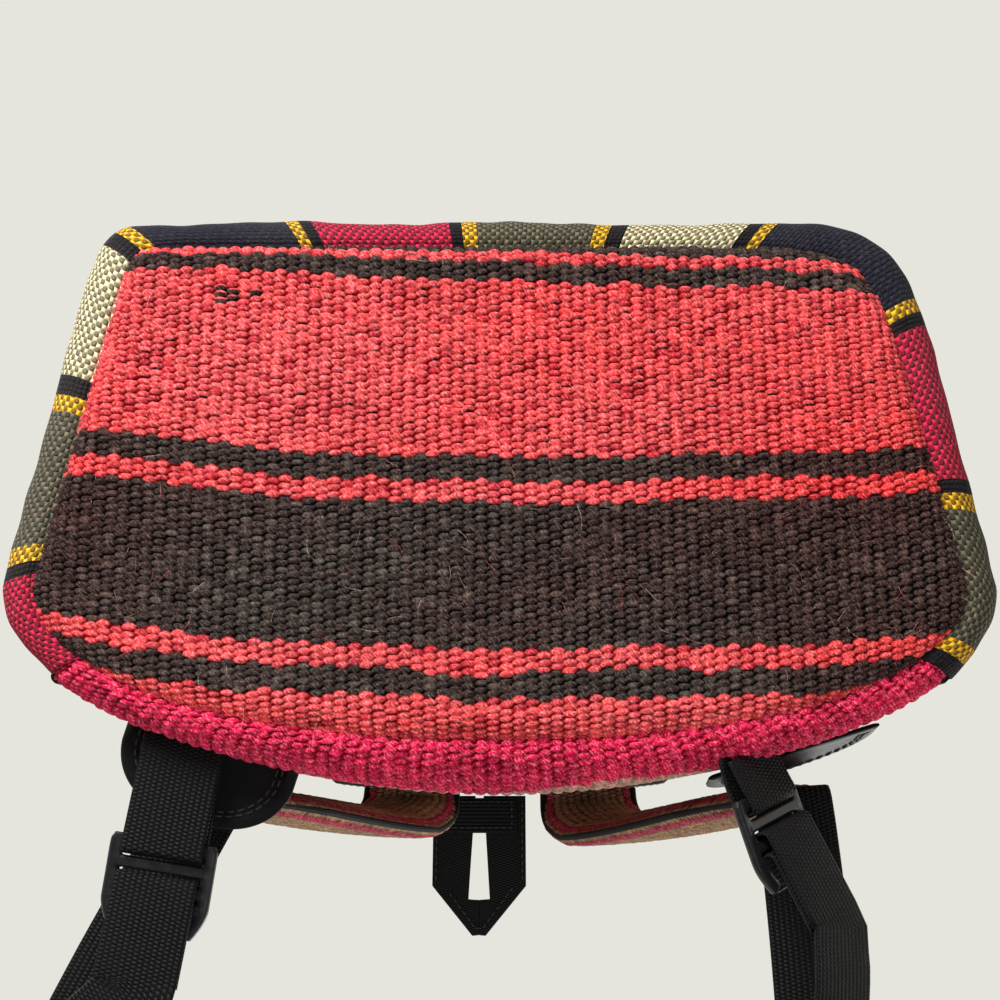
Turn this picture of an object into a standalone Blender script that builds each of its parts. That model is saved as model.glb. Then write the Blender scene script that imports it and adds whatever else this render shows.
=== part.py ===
"""Woven wool hiking backpack, standing on its base. Metres, +Z up, front towards -Y."""

import math

import bmesh
import bpy
from mathutils import Matrix, Vector

# Body of the bag
BASE_HALF_WIDTH = 0.176
BASE_FRONT_REACH = 0.106
BASE_BACK_REACH = 0.089
WIDEST_REACH = 0.030
FRONT_TAPER = 0.030
SEAM_HEIGHT = 0.0045
SEAM_GROOVE = 0.0030
ROLL_HEIGHT = 0.030
ROLL_OUT = 0.016
BELLY_OUT = 0.014
RIM_HEIGHT = 0.400
RIM_OUT = -0.004
BACK_LEAN = 0.012
SEAM_ANGLE = 28.0
LEFT_FRONT_POWER = 24.0
RIGHT_FRONT_POWER = 10.0
BASE_BACK_POWER = 2.2
ROLL_BACK_POWER = 1.8
RIM_BACK_POWER = 2.3

# Cloth thicknesses
RUG_THICKNESS = 0.006
WRAP_THICKNESS = 0.004
BASE_THICKNESS = 0.0085
BASE_EDGE_ROUND = 0.012
LINING_THICKNESS = 0.0012
BINDING_DIAMETER = 0.0052
BINDING_EASE = 0.0024

# Inside
BOARD_THICKNESS = 0.0025
BOARD_INSET = 0.014
FOAM_THICKNESS = 0.007
FOAM_HALF_WIDTH = 0.118
FOAM_LOW = 0.045
LINING_INSET = 0.0085
LINING_BACK_INSET = 0.019

# Zip and lid
TAPE_WIDTH = 0.0075
TAPE_THICKNESS = 0.0012
COIL_SIZE = 0.003
COIL_SPLIT = 0.0014
STOP_LENGTH = 0.004
LID_CROWN = 0.030
LID_SKIRT = 0.010
SLIDER_LENGTH = 0.014
SLIDER_HEIGHT = 0.010
SLIDER_PLATE = 0.0022
SLIDER_BACK_PLATE = 0.0012
SLIDER_WEB = 0.0007
SLIDER_REST = 0.012
BAIL_WIDTH = 0.003
BAIL_SPACE = 0.0034
BAIL_BAR = 0.0012
PULL_WIDTH = 0.009
PULL_LENGTH = 0.022
PULL_PIN = 0.0016
PULL_WINDOW = 0.0054

# Straps
WEBBING_WIDTH = 0.030
WEBBING_THICKNESS = 0.0016
YOKE_HALF_WIDTH = 0.096
YOKE_HEIGHT = 0.042
YOKE_DROP = 0.024
YOKE_THICKNESS = 0.003
PAD_TOP_X = 0.050
PAD_END_X = 0.116
PAD_END_HEIGHT = 0.078
PAD_HALF_WIDTH = 0.031
PAD_THICKNESS = 0.010
LEFT_PAD_ARCH = 0.014
RIGHT_PAD_ARCH = 0.018
PAD_STAND_OFF = 0.0015
PAD_END_OFF = 0.012
HANDLE_X = -0.012
HANDLE_HALF_WIDTH = 0.027
HANDLE_LENGTH = 0.080
HANDLE_POINT = 0.028
HANDLE_SLIT_ROOT = 0.0046
HANDLE_SLIT_END = 0.013
HANDLE_SLIT_LENGTH = 0.060
HANDLE_THICKNESS = 0.0024
HANDLE_DROOP = 8.0
WING_WIDTH = 0.070
WING_LENGTH = 0.0265
WING_THICKNESS = 0.0024
LEFT_WING_HEIGHT = 0.0325
RIGHT_WING_HEIGHT = 0.0420
LEFT_WING_INSET = 0.065
LEFT_WING_TILT = 3.0
RIGHT_WING_INSET = 0.063
RIGHT_WING_TILT = 84.0

# Ladder locks
LOCK_LENGTH = 0.034
LOCK_WIDTH = 0.040
LOCK_THICKNESS = 0.0032
LOCK_RAIL = 0.004
LOCK_BAR = 0.0048
LOCK_RISE = 0.006
LEFT_LOCK_INSET = 0.056
LEFT_LOCK_HEIGHT = 0.022
LEFT_LOCK_REACH = 0.038
LEFT_LOCK_HEADING = 9.0
LEFT_LOCK_ROLL = 0.0
LEFT_SLACK_HEADING = 44.0
RIGHT_LOCK_INSET = 0.080
RIGHT_LOCK_HEIGHT = 0.003
RIGHT_LOCK_REACH = 0.0135
RIGHT_LOCK_HEADING = -26.0
RIGHT_LOCK_ROLL = -45.0
RIGHT_SLACK_HEADING = 6.0
TAIL_LENGTH = 0.050
SLACK_REACH = 0.100
SLACK_RADIUS = 0.021

# Clearances
FIT_GAP = 0.0003
CLOTH_GAP = 0.0006
SKIN_GAP = 0.0013
MOVING_GAP = 0.0005
FLOOR_GAP = 0.0005

ROLL_TOP = SEAM_HEIGHT + ROLL_HEIGHT
COIL_BOTTOM = RIM_HEIGHT + FIT_GAP + TAPE_WIDTH + FIT_GAP
ZIP_LINE = COIL_BOTTOM + COIL_SIZE + COIL_SPLIT / 2
LID_COIL_BOTTOM = ZIP_LINE + COIL_SPLIT / 2
LID_TAPE_BOTTOM = LID_COIL_BOTTOM + COIL_SIZE + FIT_GAP
LID_BASE = LID_TAPE_BOTTOM + TAPE_WIDTH + FIT_GAP
BACK_TOP = LID_BASE - BINDING_DIAMETER - 2 * MOVING_GAP - CLOTH_GAP
ZIP_OUT = RIM_OUT - WRAP_THICKNESS / 2
YOKE_TOP = RIM_HEIGHT - YOKE_DROP
YOKE_BOTTOM = YOKE_TOP - YOKE_HEIGHT

FINISHES = {
    "coral_rug": ((0.76, 0.061, 0.070), 0.95, 0.0),
    "magenta_rug": ((0.578, 0.010, 0.102), 0.95, 0.0),
    "beige_rug": ((0.429, 0.242, 0.127), 0.95, 0.0),
    "striped_cloth": ((0.30, 0.05, 0.07), 0.9, 0.0),
    "black_webbing": ((0.008, 0.009, 0.011), 0.75, 0.0),
    "black_binding": ((0.010, 0.010, 0.011), 0.8, 0.0),
    "black_tab": ((0.010, 0.010, 0.010), 0.55, 0.0),
    "lining_cloth": ((0.020, 0.020, 0.023), 0.85, 0.0),
    "stiff_board": ((0.05, 0.045, 0.04), 0.6, 0.0),
    "grey_foam": ((0.18, 0.18, 0.19), 0.95, 0.0),
    "zip_tape": ((0.012, 0.012, 0.013), 0.8, 0.0),
    "zip_coil": ((0.018, 0.018, 0.020), 0.45, 0.0),
    "zip_metal": ((0.38, 0.36, 0.33), 0.35, 1.0),
    "black_plastic": ((0.010, 0.011, 0.013), 0.22, 0.0),
}


def clear_scene():
    for item in list(bpy.data.objects):
        bpy.data.objects.remove(item, do_unlink=True)


def new_collection(name):
    group = bpy.data.collections.new(name)
    bpy.context.scene.collection.children.link(group)
    return group


def finish(name):
    material = bpy.data.materials.get(name)
    if material:
        return material
    colour, roughness, metallic = FINISHES[name]
    material = bpy.data.materials.new(name)
    material.use_nodes = True
    shader = material.node_tree.nodes["Principled BSDF"]
    shader.inputs["Base Color"].default_value = (*colour, 1.0)
    shader.inputs["Roughness"].default_value = roughness
    shader.inputs["Metallic"].default_value = metallic
    return material


def solid(name, points, faces, look, group, origin=None):
    """One named object from points in the bag's frame, with its origin on its own axis."""
    origin = Vector(origin or (0.0, 0.0, 0.0))
    mesh = bpy.data.meshes.new(name)
    mesh.from_pydata([Vector(p) - origin for p in points], [], faces)
    mesh.materials.append(finish(look))
    thing = bpy.data.objects.new(name, mesh)
    thing.location = origin
    group.objects.link(thing)
    return thing


def face_outwards(thing):
    shape = bmesh.new()
    shape.from_mesh(thing.data)
    bmesh.ops.recalc_face_normals(shape, faces=shape.faces)
    shape.to_mesh(thing.data)
    shape.free()


def soften(thing, width, segments=1):
    bevel = thing.modifiers.new("soft_edges", "BEVEL")
    bevel.width = width
    bevel.segments = segments
    bevel.limit_method = "ANGLE"
    bevel.angle_limit = math.radians(50.0)


def thicken(thing, thickness, outwards):
    wall = thing.modifiers.new("cloth_thickness", "SOLIDIFY")
    wall.thickness = thickness
    wall.offset = 1.0 if outwards else -1.0
    wall.use_even_offset = True


# The bag's shape: an outline that bulges and changes with height


def height_share(z):
    share = (z - ROLL_TOP) / (RIM_HEIGHT - ROLL_TOP)
    return min(max(share, 0.0), 1.0)


def body_out(z):
    """How far the outer face stands out from the base panel's outline at this height."""
    if z < ROLL_TOP:
        drop = min((ROLL_TOP - z) / ROLL_HEIGHT, 1.0)
        return SEAM_GROOVE + ROLL_OUT * math.sqrt(1.0 - drop * drop)
    share = height_share(z)
    level = ROLL_OUT + (RIM_OUT - ROLL_OUT) * share
    return SEAM_GROOVE * (1.0 - share) + level + BELLY_OUT * math.sin(math.pi * share)


def blend(low, high, share):
    return low + (high - low) * share


def back_reach(z, out):
    """From the widest line to the back, which has no belly and leans in towards the top."""
    share = height_share(z)
    flat = BELLY_OUT * math.sin(math.pi * share) + BACK_LEAN * share
    return BASE_BACK_REACH - WIDEST_REACH + out - flat


def back_power(z):
    """How square the back is: fuller at the base seam and the rim than at the roll between."""
    rise = min(max((z - SEAM_HEIGHT) / ROLL_HEIGHT, 0.0), 1.0)
    return blend(blend(BASE_BACK_POWER, ROLL_BACK_POWER, rise), RIM_BACK_POWER, height_share(z))


def outline_point(angle, z, out, back_inset=0.0):
    """A point of the outline: angle 0 is the right side, 90 the back, 270 the front."""
    across = math.cos(angle)
    along = math.sin(angle)
    half = BASE_HALF_WIDTH + out
    if along >= 0.0:
        power = 2.0 / back_power(z)
        reach = back_reach(z, out) - back_inset
    else:
        power = 2.0 / (LEFT_FRONT_POWER if across < 0.0 else RIGHT_FRONT_POWER)
        reach = BASE_FRONT_REACH + WIDEST_REACH + out
        half -= FRONT_TAPER * abs(along) ** power
    x = math.copysign(half * abs(across) ** power, across)
    y = WIDEST_REACH + math.copysign(reach * abs(along) ** power, along)
    return x, y


def even_run(points, count, trim):
    """The line shortened by trim at each end and cut into equal steps."""
    marks = [0.0]
    for a, b in zip(points, points[1:]):
        marks.append(marks[-1] + math.dist(a, b))
    length = marks[-1] - 2.0 * trim
    run = []
    piece = 0
    for step in range(count + 1):
        want = trim + length * step / count
        while piece < len(marks) - 2 and marks[piece + 1] < want:
            piece += 1
        span = marks[piece + 1] - marks[piece]
        part = (want - marks[piece]) / span if span else 0.0
        a = points[piece]
        b = points[piece + 1]
        run.append((blend(a[0], b[0], part), blend(a[1], b[1], part)))
    return run


def outline_run(first, last, z, out, count, trim=0.0, back_inset=0.0):
    fine = 720
    angles = [math.radians(blend(first, last, i / fine)) for i in range(fine + 1)]
    points = [outline_point(a, z, out, back_inset) for a in angles]
    return even_run(points, count, trim)


def outline_ring(z, out, height, count=64, scale=1.0, back_inset=0.0):
    """A closed ring of points at this height, with the outline of the bag at z."""
    run = outline_run(-90.0, 270.0, z, out, count, 0.0, back_inset)[:-1]
    return [Vector((x * scale, y * scale, height)) for x, y in run]


def back_y(x, z, off=0.0):
    """How far back the outer face of the back is at this place."""
    out = body_out(z) + off
    power = back_power(z)
    share = min(abs(x) / (BASE_HALF_WIDTH + out), 0.999)
    return WIDEST_REACH + back_reach(z, out) * (1.0 - share**power) ** (1.0 / power)


def loft(name, rings, look, group, origin=None):
    """A closed solid skinned over rings of equal counts, capped at both ends."""
    count = len(rings[0])
    points = [p for ring in rings for p in ring]
    faces = [list(range(count))[::-1]]
    for level in range(len(rings) - 1):
        low = level * count
        high = low + count
        for i in range(count):
            j = (i + 1) % count
            faces.append([low + i, low + j, high + j, high + i])
    last = (len(rings) - 1) * count
    faces.append([last + i for i in range(count)])
    thing = solid(name, points, faces, look, group, origin)
    face_outwards(thing)
    return thing


def skin(name, rows, look, group, thickness, outwards=False):
    """An open sheet over rows of points, made into a wall."""
    width = len(rows[0])
    points = [p for row in rows for p in row]
    faces = []
    for r in range(len(rows) - 1):
        for c in range(width - 1):
            a = r * width + c
            faces.append([a, a + 1, a + width + 1, a + width])
    thing = solid(name, points, faces, look, group)
    thicken(thing, thickness, outwards)
    return thing


def roll_heights():
    return [SEAM_HEIGHT + ROLL_HEIGHT * (1.0 - math.cos(math.radians(a))) for a in (0, 22, 45, 67)]


def wall_heights(top, count):
    return [blend(ROLL_TOP, top, i / count) for i in range(count + 1)]


def build_body(group):
    heights = roll_heights() + wall_heights(RIM_HEIGHT, 7)
    trim = BINDING_DIAMETER / 2 + BINDING_EASE
    rows = []
    for z in heights:
        run = outline_run(180.0 - SEAM_ANGLE, 360.0 + SEAM_ANGLE, z, body_out(z), 46, trim)
        rows.append([Vector((x, y, z)) for x, y in run])
    skin("wrap_panel", rows, "striped_cloth", group, WRAP_THICKNESS)

    rows = []
    for z in heights[:-1] + [RIM_HEIGHT, BACK_TOP]:
        run = outline_run(SEAM_ANGLE, 180.0 - SEAM_ANGLE, z, body_out(z), 18, trim)
        rows.append([Vector((x, y, z)) for x, y in run])
    skin("back_panel", rows, "magenta_rug", group, RUG_THICKNESS)

    rings = [
        outline_ring(0.0, -BASE_EDGE_ROUND, 0.0),
        outline_ring(0.0, -BASE_EDGE_ROUND * 0.35, BASE_THICKNESS * 0.22),
        outline_ring(0.0, 0.0, BASE_THICKNESS * 0.6),
        outline_ring(0.0, -CLOTH_GAP, BASE_THICKNESS),
    ]
    loft("base_panel", rings, "coral_rug", group)
    build_binding(group)


def build_binding(group):
    """Round black edging up both sides of the back panel and along its top."""
    radius = BINDING_DIAMETER / 2
    first = SEAM_HEIGHT + ROLL_HEIGHT * (1.0 - math.cos(math.radians(30.0)))
    heights = [first, SEAM_HEIGHT + ROLL_HEIGHT * 0.35] + wall_heights(RIM_HEIGHT, 7)
    side = []
    for z in heights:
        rise = 0.0005
        lean = (body_out(z + rise) - body_out(z - rise)) / (2.0 * rise)
        inwards = radius * 0.85 / math.hypot(1.0, lean)
        x, y = outline_point(math.radians(SEAM_ANGLE), z, body_out(z) - inwards)
        side.append(Vector((x, y, z + inwards * lean)))
    depth = RIM_OUT - RUG_THICKNESS / 2
    top = BACK_TOP + radius + CLOTH_GAP
    run = outline_run(SEAM_ANGLE, 180.0 - SEAM_ANGLE, RIM_HEIGHT, depth, 18, radius)
    across = [Vector((x, y, top)) for x, y in run]
    upright = side[-1].copy()
    upright.z = top - radius
    corner = upright.lerp(across[0], 0.3)
    corner.z = top - radius * 0.3
    right = side + [upright, corner]
    left = [Vector((-p.x, p.y, p.z)) for p in reversed(right)]
    points = right + across + left
    line = bpy.data.curves.new("back_binding", "CURVE")
    line.dimensions = "3D"
    line.bevel_depth = radius
    line.bevel_resolution = 1
    line.use_fill_caps = True
    line.materials.append(finish("black_binding"))
    spline = line.splines.new("POLY")
    spline.points.add(len(points) - 1)
    for knot, place in zip(spline.points, points):
        knot.co = (*place, 1.0)
    group.objects.link(bpy.data.objects.new("back_binding", line))


def build_inside(group):
    floor = BASE_THICKNESS + CLOTH_GAP
    board_top = floor + BOARD_THICKNESS
    rings = [
        outline_ring(0.0, -BOARD_INSET, floor, 48),
        outline_ring(0.0, -BOARD_INSET, board_top, 48),
    ]
    loft("base_board", rings, "stiff_board", group)

    low = board_top + CLOTH_GAP
    top = RIM_HEIGHT - 0.006
    extra = LINING_BACK_INSET - LINING_INSET
    outer = [(low, -BOARD_INSET), (ROLL_TOP * 0.7, -LINING_INSET * 0.4)]
    for z in wall_heights(top, 6):
        outer.append((z, body_out(z) - LINING_INSET))
    thick = LINING_THICKNESS
    rings = [outline_ring(z, out, z, 48, 1.0, extra) for z, out in outer]
    inner = [(z, out - thick) for z, out in reversed(outer[1:])]
    inner.append((low + thick, -BOARD_INSET - thick))
    rings += [outline_ring(z, out, z, 48, 1.0, extra) for z, out in inner]
    loft("lining", rings, "lining_cloth", group)

    off = -RUG_THICKNESS - SKIN_GAP
    rows = []
    for z in [FOAM_LOW] + wall_heights(YOKE_TOP, 7)[1:]:
        steps = [blend(FOAM_HALF_WIDTH, -FOAM_HALF_WIDTH, i / 12) for i in range(13)]
        rows.append([Vector((x, back_y(x, z, off), z)) for x in steps])
    skin("back_foam", rows, "grey_foam", group, FOAM_THICKNESS)


def fence(name, run, bottom, top, thickness, look, group, origin=None):
    """An upright strip along a plan line."""
    rings = []
    for i, here in enumerate(run):
        before = run[max(i - 1, 0)]
        after = run[min(i + 1, len(run) - 1)]
        way = Vector((after[0] - before[0], after[1] - before[1])).normalized()
        side = Vector((way.y, -way.x)) * (thickness / 2)
        near = Vector(here) - side
        far = Vector(here) + side
        rings.append(
            [
                Vector((near.x, near.y, bottom)),
                Vector((far.x, far.y, bottom)),
                Vector((far.x, far.y, top)),
                Vector((near.x, near.y, top)),
            ]
        )
    return loft(name, rings, look, group, origin)


def build_zip_and_lid(group, cutters):
    hinge = (0.0, back_y(0.0, RIM_HEIGHT) + MOVING_GAP, LID_BASE - MOVING_GAP)
    first = 180.0 - SEAM_ANGLE
    last = 360.0 + SEAM_ANGLE
    trim = BINDING_DIAMETER + 2 * MOVING_GAP + STOP_LENGTH + FIT_GAP
    run = outline_run(first, last, RIM_HEIGHT, ZIP_OUT, 46, trim)
    low = RIM_HEIGHT + FIT_GAP
    fence("body_zip_tape", run, low, low + TAPE_WIDTH, TAPE_THICKNESS, "zip_tape", group)
    coil_top = COIL_BOTTOM + COIL_SIZE
    fence("body_zip_coil", run, COIL_BOTTOM, coil_top, COIL_SIZE, "zip_coil", group)
    lid_coil_top = LID_COIL_BOTTOM + COIL_SIZE
    fence("lid_zip_coil", run, LID_COIL_BOTTOM, lid_coil_top, COIL_SIZE, "zip_coil", group, hinge)
    lid_tape_top = LID_TAPE_BOTTOM + TAPE_WIDTH
    fence("lid_zip_tape", run, LID_TAPE_BOTTOM, lid_tape_top, TAPE_THICKNESS, "zip_tape", group, hinge)

    whole = outline_run(first, last, RIM_HEIGHT, ZIP_OUT, 400, BINDING_DIAMETER + 2 * MOVING_GAP)
    stop_run = []
    for x, y in whole:
        if math.dist((x, y), whole[0]) <= STOP_LENGTH:
            stop_run.append((x, y))
        else:
            break
    stop_run = even_run(stop_run, 2, 0.0)
    fence("left_zip_stop", stop_run, low, coil_top, COIL_SIZE, "zip_metal", group)
    other = [(-x, y) for x, y in reversed(stop_run)]
    fence("right_zip_stop", other, low, coil_top, COIL_SIZE, "zip_metal", group)

    z = RIM_HEIGHT
    inside = RIM_OUT - RUG_THICKNESS
    shoulder = LID_BASE + LID_SKIRT
    crown = LID_BASE + LID_CROWN
    under = []
    over = []
    for share, scale in ((0.55, 0.95), (0.83, 0.80), (0.97, 0.50), (1.0, 0.22)):
        height = blend(shoulder, crown, share)
        under.append(outline_ring(z, inside, height - RUG_THICKNESS, 64, scale))
        over.append(outline_ring(z, RIM_OUT, height, 64, scale))
    edge = [
        outline_ring(z, inside, shoulder - RUG_THICKNESS / 2),
        outline_ring(z, inside, LID_BASE),
        outline_ring(z, RIM_OUT - FIT_GAP, LID_BASE + 0.001),
        outline_ring(z, RIM_OUT - FIT_GAP, shoulder),
    ]
    rings = under[::-1] + edge + over
    loft("lid_panel", rings, "beige_rug", group, hinge)

    for side, sign in (("left", -1.0), ("right", 1.0)):
        build_slider(side, sign * SLIDER_REST, group, cutters)


def extrude_x(name, profile, width, centre, look, group, origin=None):
    """A profile of (y, z) points pulled out along X."""
    rings = []
    for x in (centre - width / 2, centre + width / 2):
        rings.append([Vector((x, y, z)) for y, z in profile])
    return loft(name, rings, look, group, origin)


def build_slider(side, x, group, cutters):
    face = -(BASE_FRONT_REACH + ZIP_OUT)
    front = face - COIL_SIZE / 2 - MOVING_GAP
    rear = face + COIL_SIZE / 2 + MOVING_GAP
    high = SLIDER_HEIGHT / 2
    web = SLIDER_WEB / 2
    profile = [
        (front - SLIDER_PLATE, ZIP_LINE - high),
        (front, ZIP_LINE - high),
        (front, ZIP_LINE - web),
        (rear, ZIP_LINE - web),
        (rear, ZIP_LINE - high * 0.8),
        (rear + SLIDER_BACK_PLATE, ZIP_LINE - high * 0.8),
        (rear + SLIDER_BACK_PLATE, ZIP_LINE + high * 0.8),
        (rear, ZIP_LINE + high * 0.8),
        (rear, ZIP_LINE + web),
        (front, ZIP_LINE + web),
        (front, ZIP_LINE + high),
        (front - SLIDER_PLATE, ZIP_LINE + high),
    ]
    middle = (x, front - SLIDER_PLATE, ZIP_LINE)
    body = extrude_x(side + "_zip_slider", profile, SLIDER_LENGTH, x, "zip_metal", group, middle)

    plate = front - SLIDER_PLATE
    inner = plate - BAIL_SPACE
    outer = inner - BAIL_BAR
    leg = high - BAIL_BAR
    bail = [
        (plate + SLIDER_PLATE / 2, ZIP_LINE - high * 0.98),
        (outer, ZIP_LINE - high * 0.92),
        (outer, ZIP_LINE + high * 0.92),
        (plate + SLIDER_PLATE / 2, ZIP_LINE + high * 0.98),
        (plate + SLIDER_PLATE / 2, ZIP_LINE + leg),
        (inner, ZIP_LINE + leg),
        (inner, ZIP_LINE - leg),
        (plate + SLIDER_PLATE / 2, ZIP_LINE - leg),
    ]
    loop = extrude_x(side + "_bail", bail, BAIL_WIDTH, x, "zip_metal", cutters, middle)
    loop.hide_render = True
    loop.display_type = "WIRE"
    join = body.modifiers.new("bail", "BOOLEAN")
    join.operation = "UNION"
    join.solver = "EXACT"
    join.object = loop

    pin = (x, plate - BAIL_SPACE / 2, ZIP_LINE)
    half = PULL_PIN / 2
    hole = PULL_WINDOW / 2
    wide = PULL_WIDTH / 2
    xs = [-wide, -hole, hole, wide]
    zs = [half, -half, -SLIDER_HEIGHT * 0.95, -PULL_LENGTH * 0.8, -PULL_LENGTH]
    taper = [1.0, 1.0, 1.0, 0.85, 0.6]
    filled = [[True, True, True], [True, False, True], [True, True, True], [True, True, True]]
    frame = Matrix.Translation(pin) @ Matrix.Rotation(math.radians(90.0), 4, "X")
    low = [-half] * len(zs)
    slotted_plate(side + "_zip_pull", xs, zs, taper, filled, low, PULL_PIN, frame, "zip_metal", group, pin)


def slotted_plate(name, xs, ys, taper, filled, low, thickness, frame, look, group, origin):
    """A plate with openings: cells of a grid that are filled, low[i] giving its underside at ys[i]."""
    wide = len(xs)
    points = []
    for layer in (0.0, thickness):
        for row, y in enumerate(ys):
            for x in xs:
                points.append(frame @ Vector((x * taper[row], y, low[row] + layer)))
    upper = wide * len(ys)

    def at(row, column):
        inside = 0 <= row < len(ys) - 1 and 0 <= column < wide - 1
        return inside and filled[row][column]

    faces = []
    for row in range(len(ys) - 1):
        for column in range(wide - 1):
            if not at(row, column):
                continue
            a = row * wide + column
            square = [a, a + 1, a + wide + 1, a + wide]
            faces.append(square[::-1])
            faces.append([upper + i for i in square])
            around = ((row - 1, column), (row, column + 1), (row + 1, column), (row, column - 1))
            for side, beside in enumerate(around):
                if not at(*beside):
                    p = square[side]
                    q = square[(side + 1) % 4]
                    faces.append([p, q, upper + q, upper + p])
    used = sorted({i for face in faces for i in face})
    place = {old: new for new, old in enumerate(used)}
    faces = [[place[i] for i in face] for face in faces]
    thing = solid(name, [points[i] for i in used], faces, look, group, origin)
    face_outwards(thing)
    return thing


# Straps, locks, wings and handle


def lock_frame(x, height, reach, heading, roll):
    """Where a ladder lock hangs: its anchor bar at the origin, its length along +Y."""
    turn = math.radians(heading)
    way = Vector((-math.sin(turn), math.cos(turn), 0.0))
    lift = FLOOR_GAP + height + LOCK_WIDTH / 2 * abs(math.sin(math.radians(roll)))
    place = Vector((x, back_y(x, lift), lift)) + way * reach
    spin = Matrix.Rotation(turn, 4, "Z") @ Matrix.Rotation(math.radians(roll), 4, "Y")
    return Matrix.Translation(place) @ spin


def bar_places():
    """Along the lock: anchor bar, slot, middle bar, slot, grip bar, slot, lip."""
    slot = (LOCK_LENGTH - 3 * LOCK_BAR - 0.0105) / 3
    edges = [-LOCK_BAR / 2]
    for step in (LOCK_BAR, slot, LOCK_BAR, slot, LOCK_BAR, slot):
        edges.append(edges[-1] + step)
    edges.append(edges[-1] + 0.005)
    edges.append(LOCK_LENGTH - LOCK_BAR / 2)
    return edges


def lock_low(y):
    """The underside of the lock, which rises from the anchor bar to the thumb lip."""
    share = max(y, 0.0) / LOCK_LENGTH
    start = 2.0 * WEBBING_THICKNESS + FIT_GAP
    return start - FLOOR_GAP + LOCK_RISE * share**1.2


def build_lock(side, frame, group):
    edges = bar_places()
    half = LOCK_WIDTH / 2
    xs = [-half, -half + LOCK_RAIL, half - LOCK_RAIL, half]
    bar = [True, True, True]
    slot = [True, False, True]
    filled = [bar, slot, bar, slot, bar, slot, bar, bar]
    taper = [0.94, 1.0, 1.0, 1.0, 1.0, 1.0, 1.0, 0.93, 0.74]
    low = [lock_low(y) for y in edges]
    low[-1] += 0.001
    anchor = frame @ Vector((0.0, 0.0, lock_low(0.0) + LOCK_THICKNESS / 2))
    name = side + "_ladder_lock"
    thing = slotted_plate(
        name, xs, edges, taper, filled, low, LOCK_THICKNESS, frame, "black_plastic", group, anchor
    )
    soften(thing, 0.0008)


def turn_points(centre, radius, first, last, steps):
    """An arc of (y, z) points, angles in degrees from +Y towards +Z."""
    arc = []
    for i in range(steps + 1):
        angle = math.radians(blend(first, last, i / steps))
        arc.append((centre[0] + radius * math.cos(angle), centre[1] + radius * math.sin(angle)))
    return arc


def ribbon(name, places, sides, width, thickness, look, group, origin=None):
    """A flat band along places; sides give the direction of its width."""
    rings = []
    for i, here in enumerate(places):
        back = places[max(i - 1, 0)]
        ahead = places[min(i + 1, len(places) - 1)]
        step_in = (here - back).normalized() if i else (ahead - here).normalized()
        step_out = (ahead - here).normalized() if i < len(places) - 1 else step_in
        way = (step_in + step_out).normalized()
        across = (sides[i] - way * sides[i].dot(way)).normalized()
        up = across.cross(way)
        spread = thickness / 2 / max(step_in.dot(way), 0.7)
        a = across * (width / 2)
        b = up * spread
        rings.append([here - a - b, here + a - b, here + a + b, here - a + b])
    return loft(name, rings, look, group, origin)


def build_anchor(side, frame, reach, group):
    """Webbing from the bag, over the anchor bar, down through the first slot and back."""
    edges = bar_places()
    half = WEBBING_THICKNESS / 2
    low = half + FIT_GAP
    high = lock_low(0.0) + LOCK_THICKNESS + 2 * MOVING_GAP + half
    turn = WEBBING_THICKNESS * 1.4
    middle = edges[1] + 2 * MOVING_GAP + half - turn
    end = -reach + CLOTH_GAP + 2 * WEBBING_THICKNESS
    line = [(end, blend(low, high, 0.62)), (blend(end, middle, 0.5), blend(low, high, 0.8))]
    line += [(middle - 0.004, high)]
    line += turn_points((middle, high - turn), turn, 90.0, 0.0, 4)
    line += turn_points((middle, low + turn), turn, 0.0, -90.0, 4)
    line += [(middle - 0.004, low), (end + 0.002, low)]
    places = [frame @ Vector((0.0, y, z)) for y, z in line]
    across = frame.to_3x3() @ Vector((1.0, 0.0, 0.0))
    name = side + "_anchor_webbing"
    ribbon(name, places, [across] * len(places), WEBBING_WIDTH, WEBBING_THICKNESS, "black_webbing", group)


def threaded_line():
    """The strap's tail, up over the grip bar and out again under the lock, as (y, z)."""
    edges = bar_places()
    half = WEBBING_THICKNESS / 2
    low = half + FIT_GAP
    tail = low + WEBBING_THICKNESS + MOVING_GAP
    turn = WEBBING_THICKNESS * 1.5
    top = lock_low(edges[5]) + LOCK_THICKNESS + FIT_GAP + half + MOVING_GAP
    far = edges[5] + FIT_GAP + half + MOVING_GAP
    near = edges[4] - FIT_GAP - half - MOVING_GAP
    line = [(TAIL_LENGTH, tail), (blend(far + turn, TAIL_LENGTH, 0.5), tail)]
    line += turn_points((far + turn, tail + turn), turn, -90.0, -180.0, 4)
    line += turn_points((far - turn, top - turn), turn, 0.0, 90.0, 4)
    line += turn_points((near + turn, top - turn), turn, 90.0, 180.0, 4)
    line += turn_points((near + turn, low + turn), turn, 180.0, 270.0, 4)
    line += [(blend(near + turn, TAIL_LENGTH, 0.5), low), (TAIL_LENGTH + 0.004, low)]
    return line


def smooth_line(knots, steps):
    """A curve through the knots with even speed at each."""
    line = [knots[0]]
    for i in range(len(knots) - 1):
        p = knots[max(i - 1, 0)]
        q = knots[i]
        r = knots[i + 1]
        s = knots[min(i + 2, len(knots) - 1)]
        for k in range(1, steps + 1):
            t = k / steps
            bend = 2.0 * q + (r - p) * t
            bend += (2.0 * p - 5.0 * q + 4.0 * r - s) * t * t
            bend += (3.0 * q - p - 3.0 * r + s) * t**3
            line.append(0.5 * bend)
    return line


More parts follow.
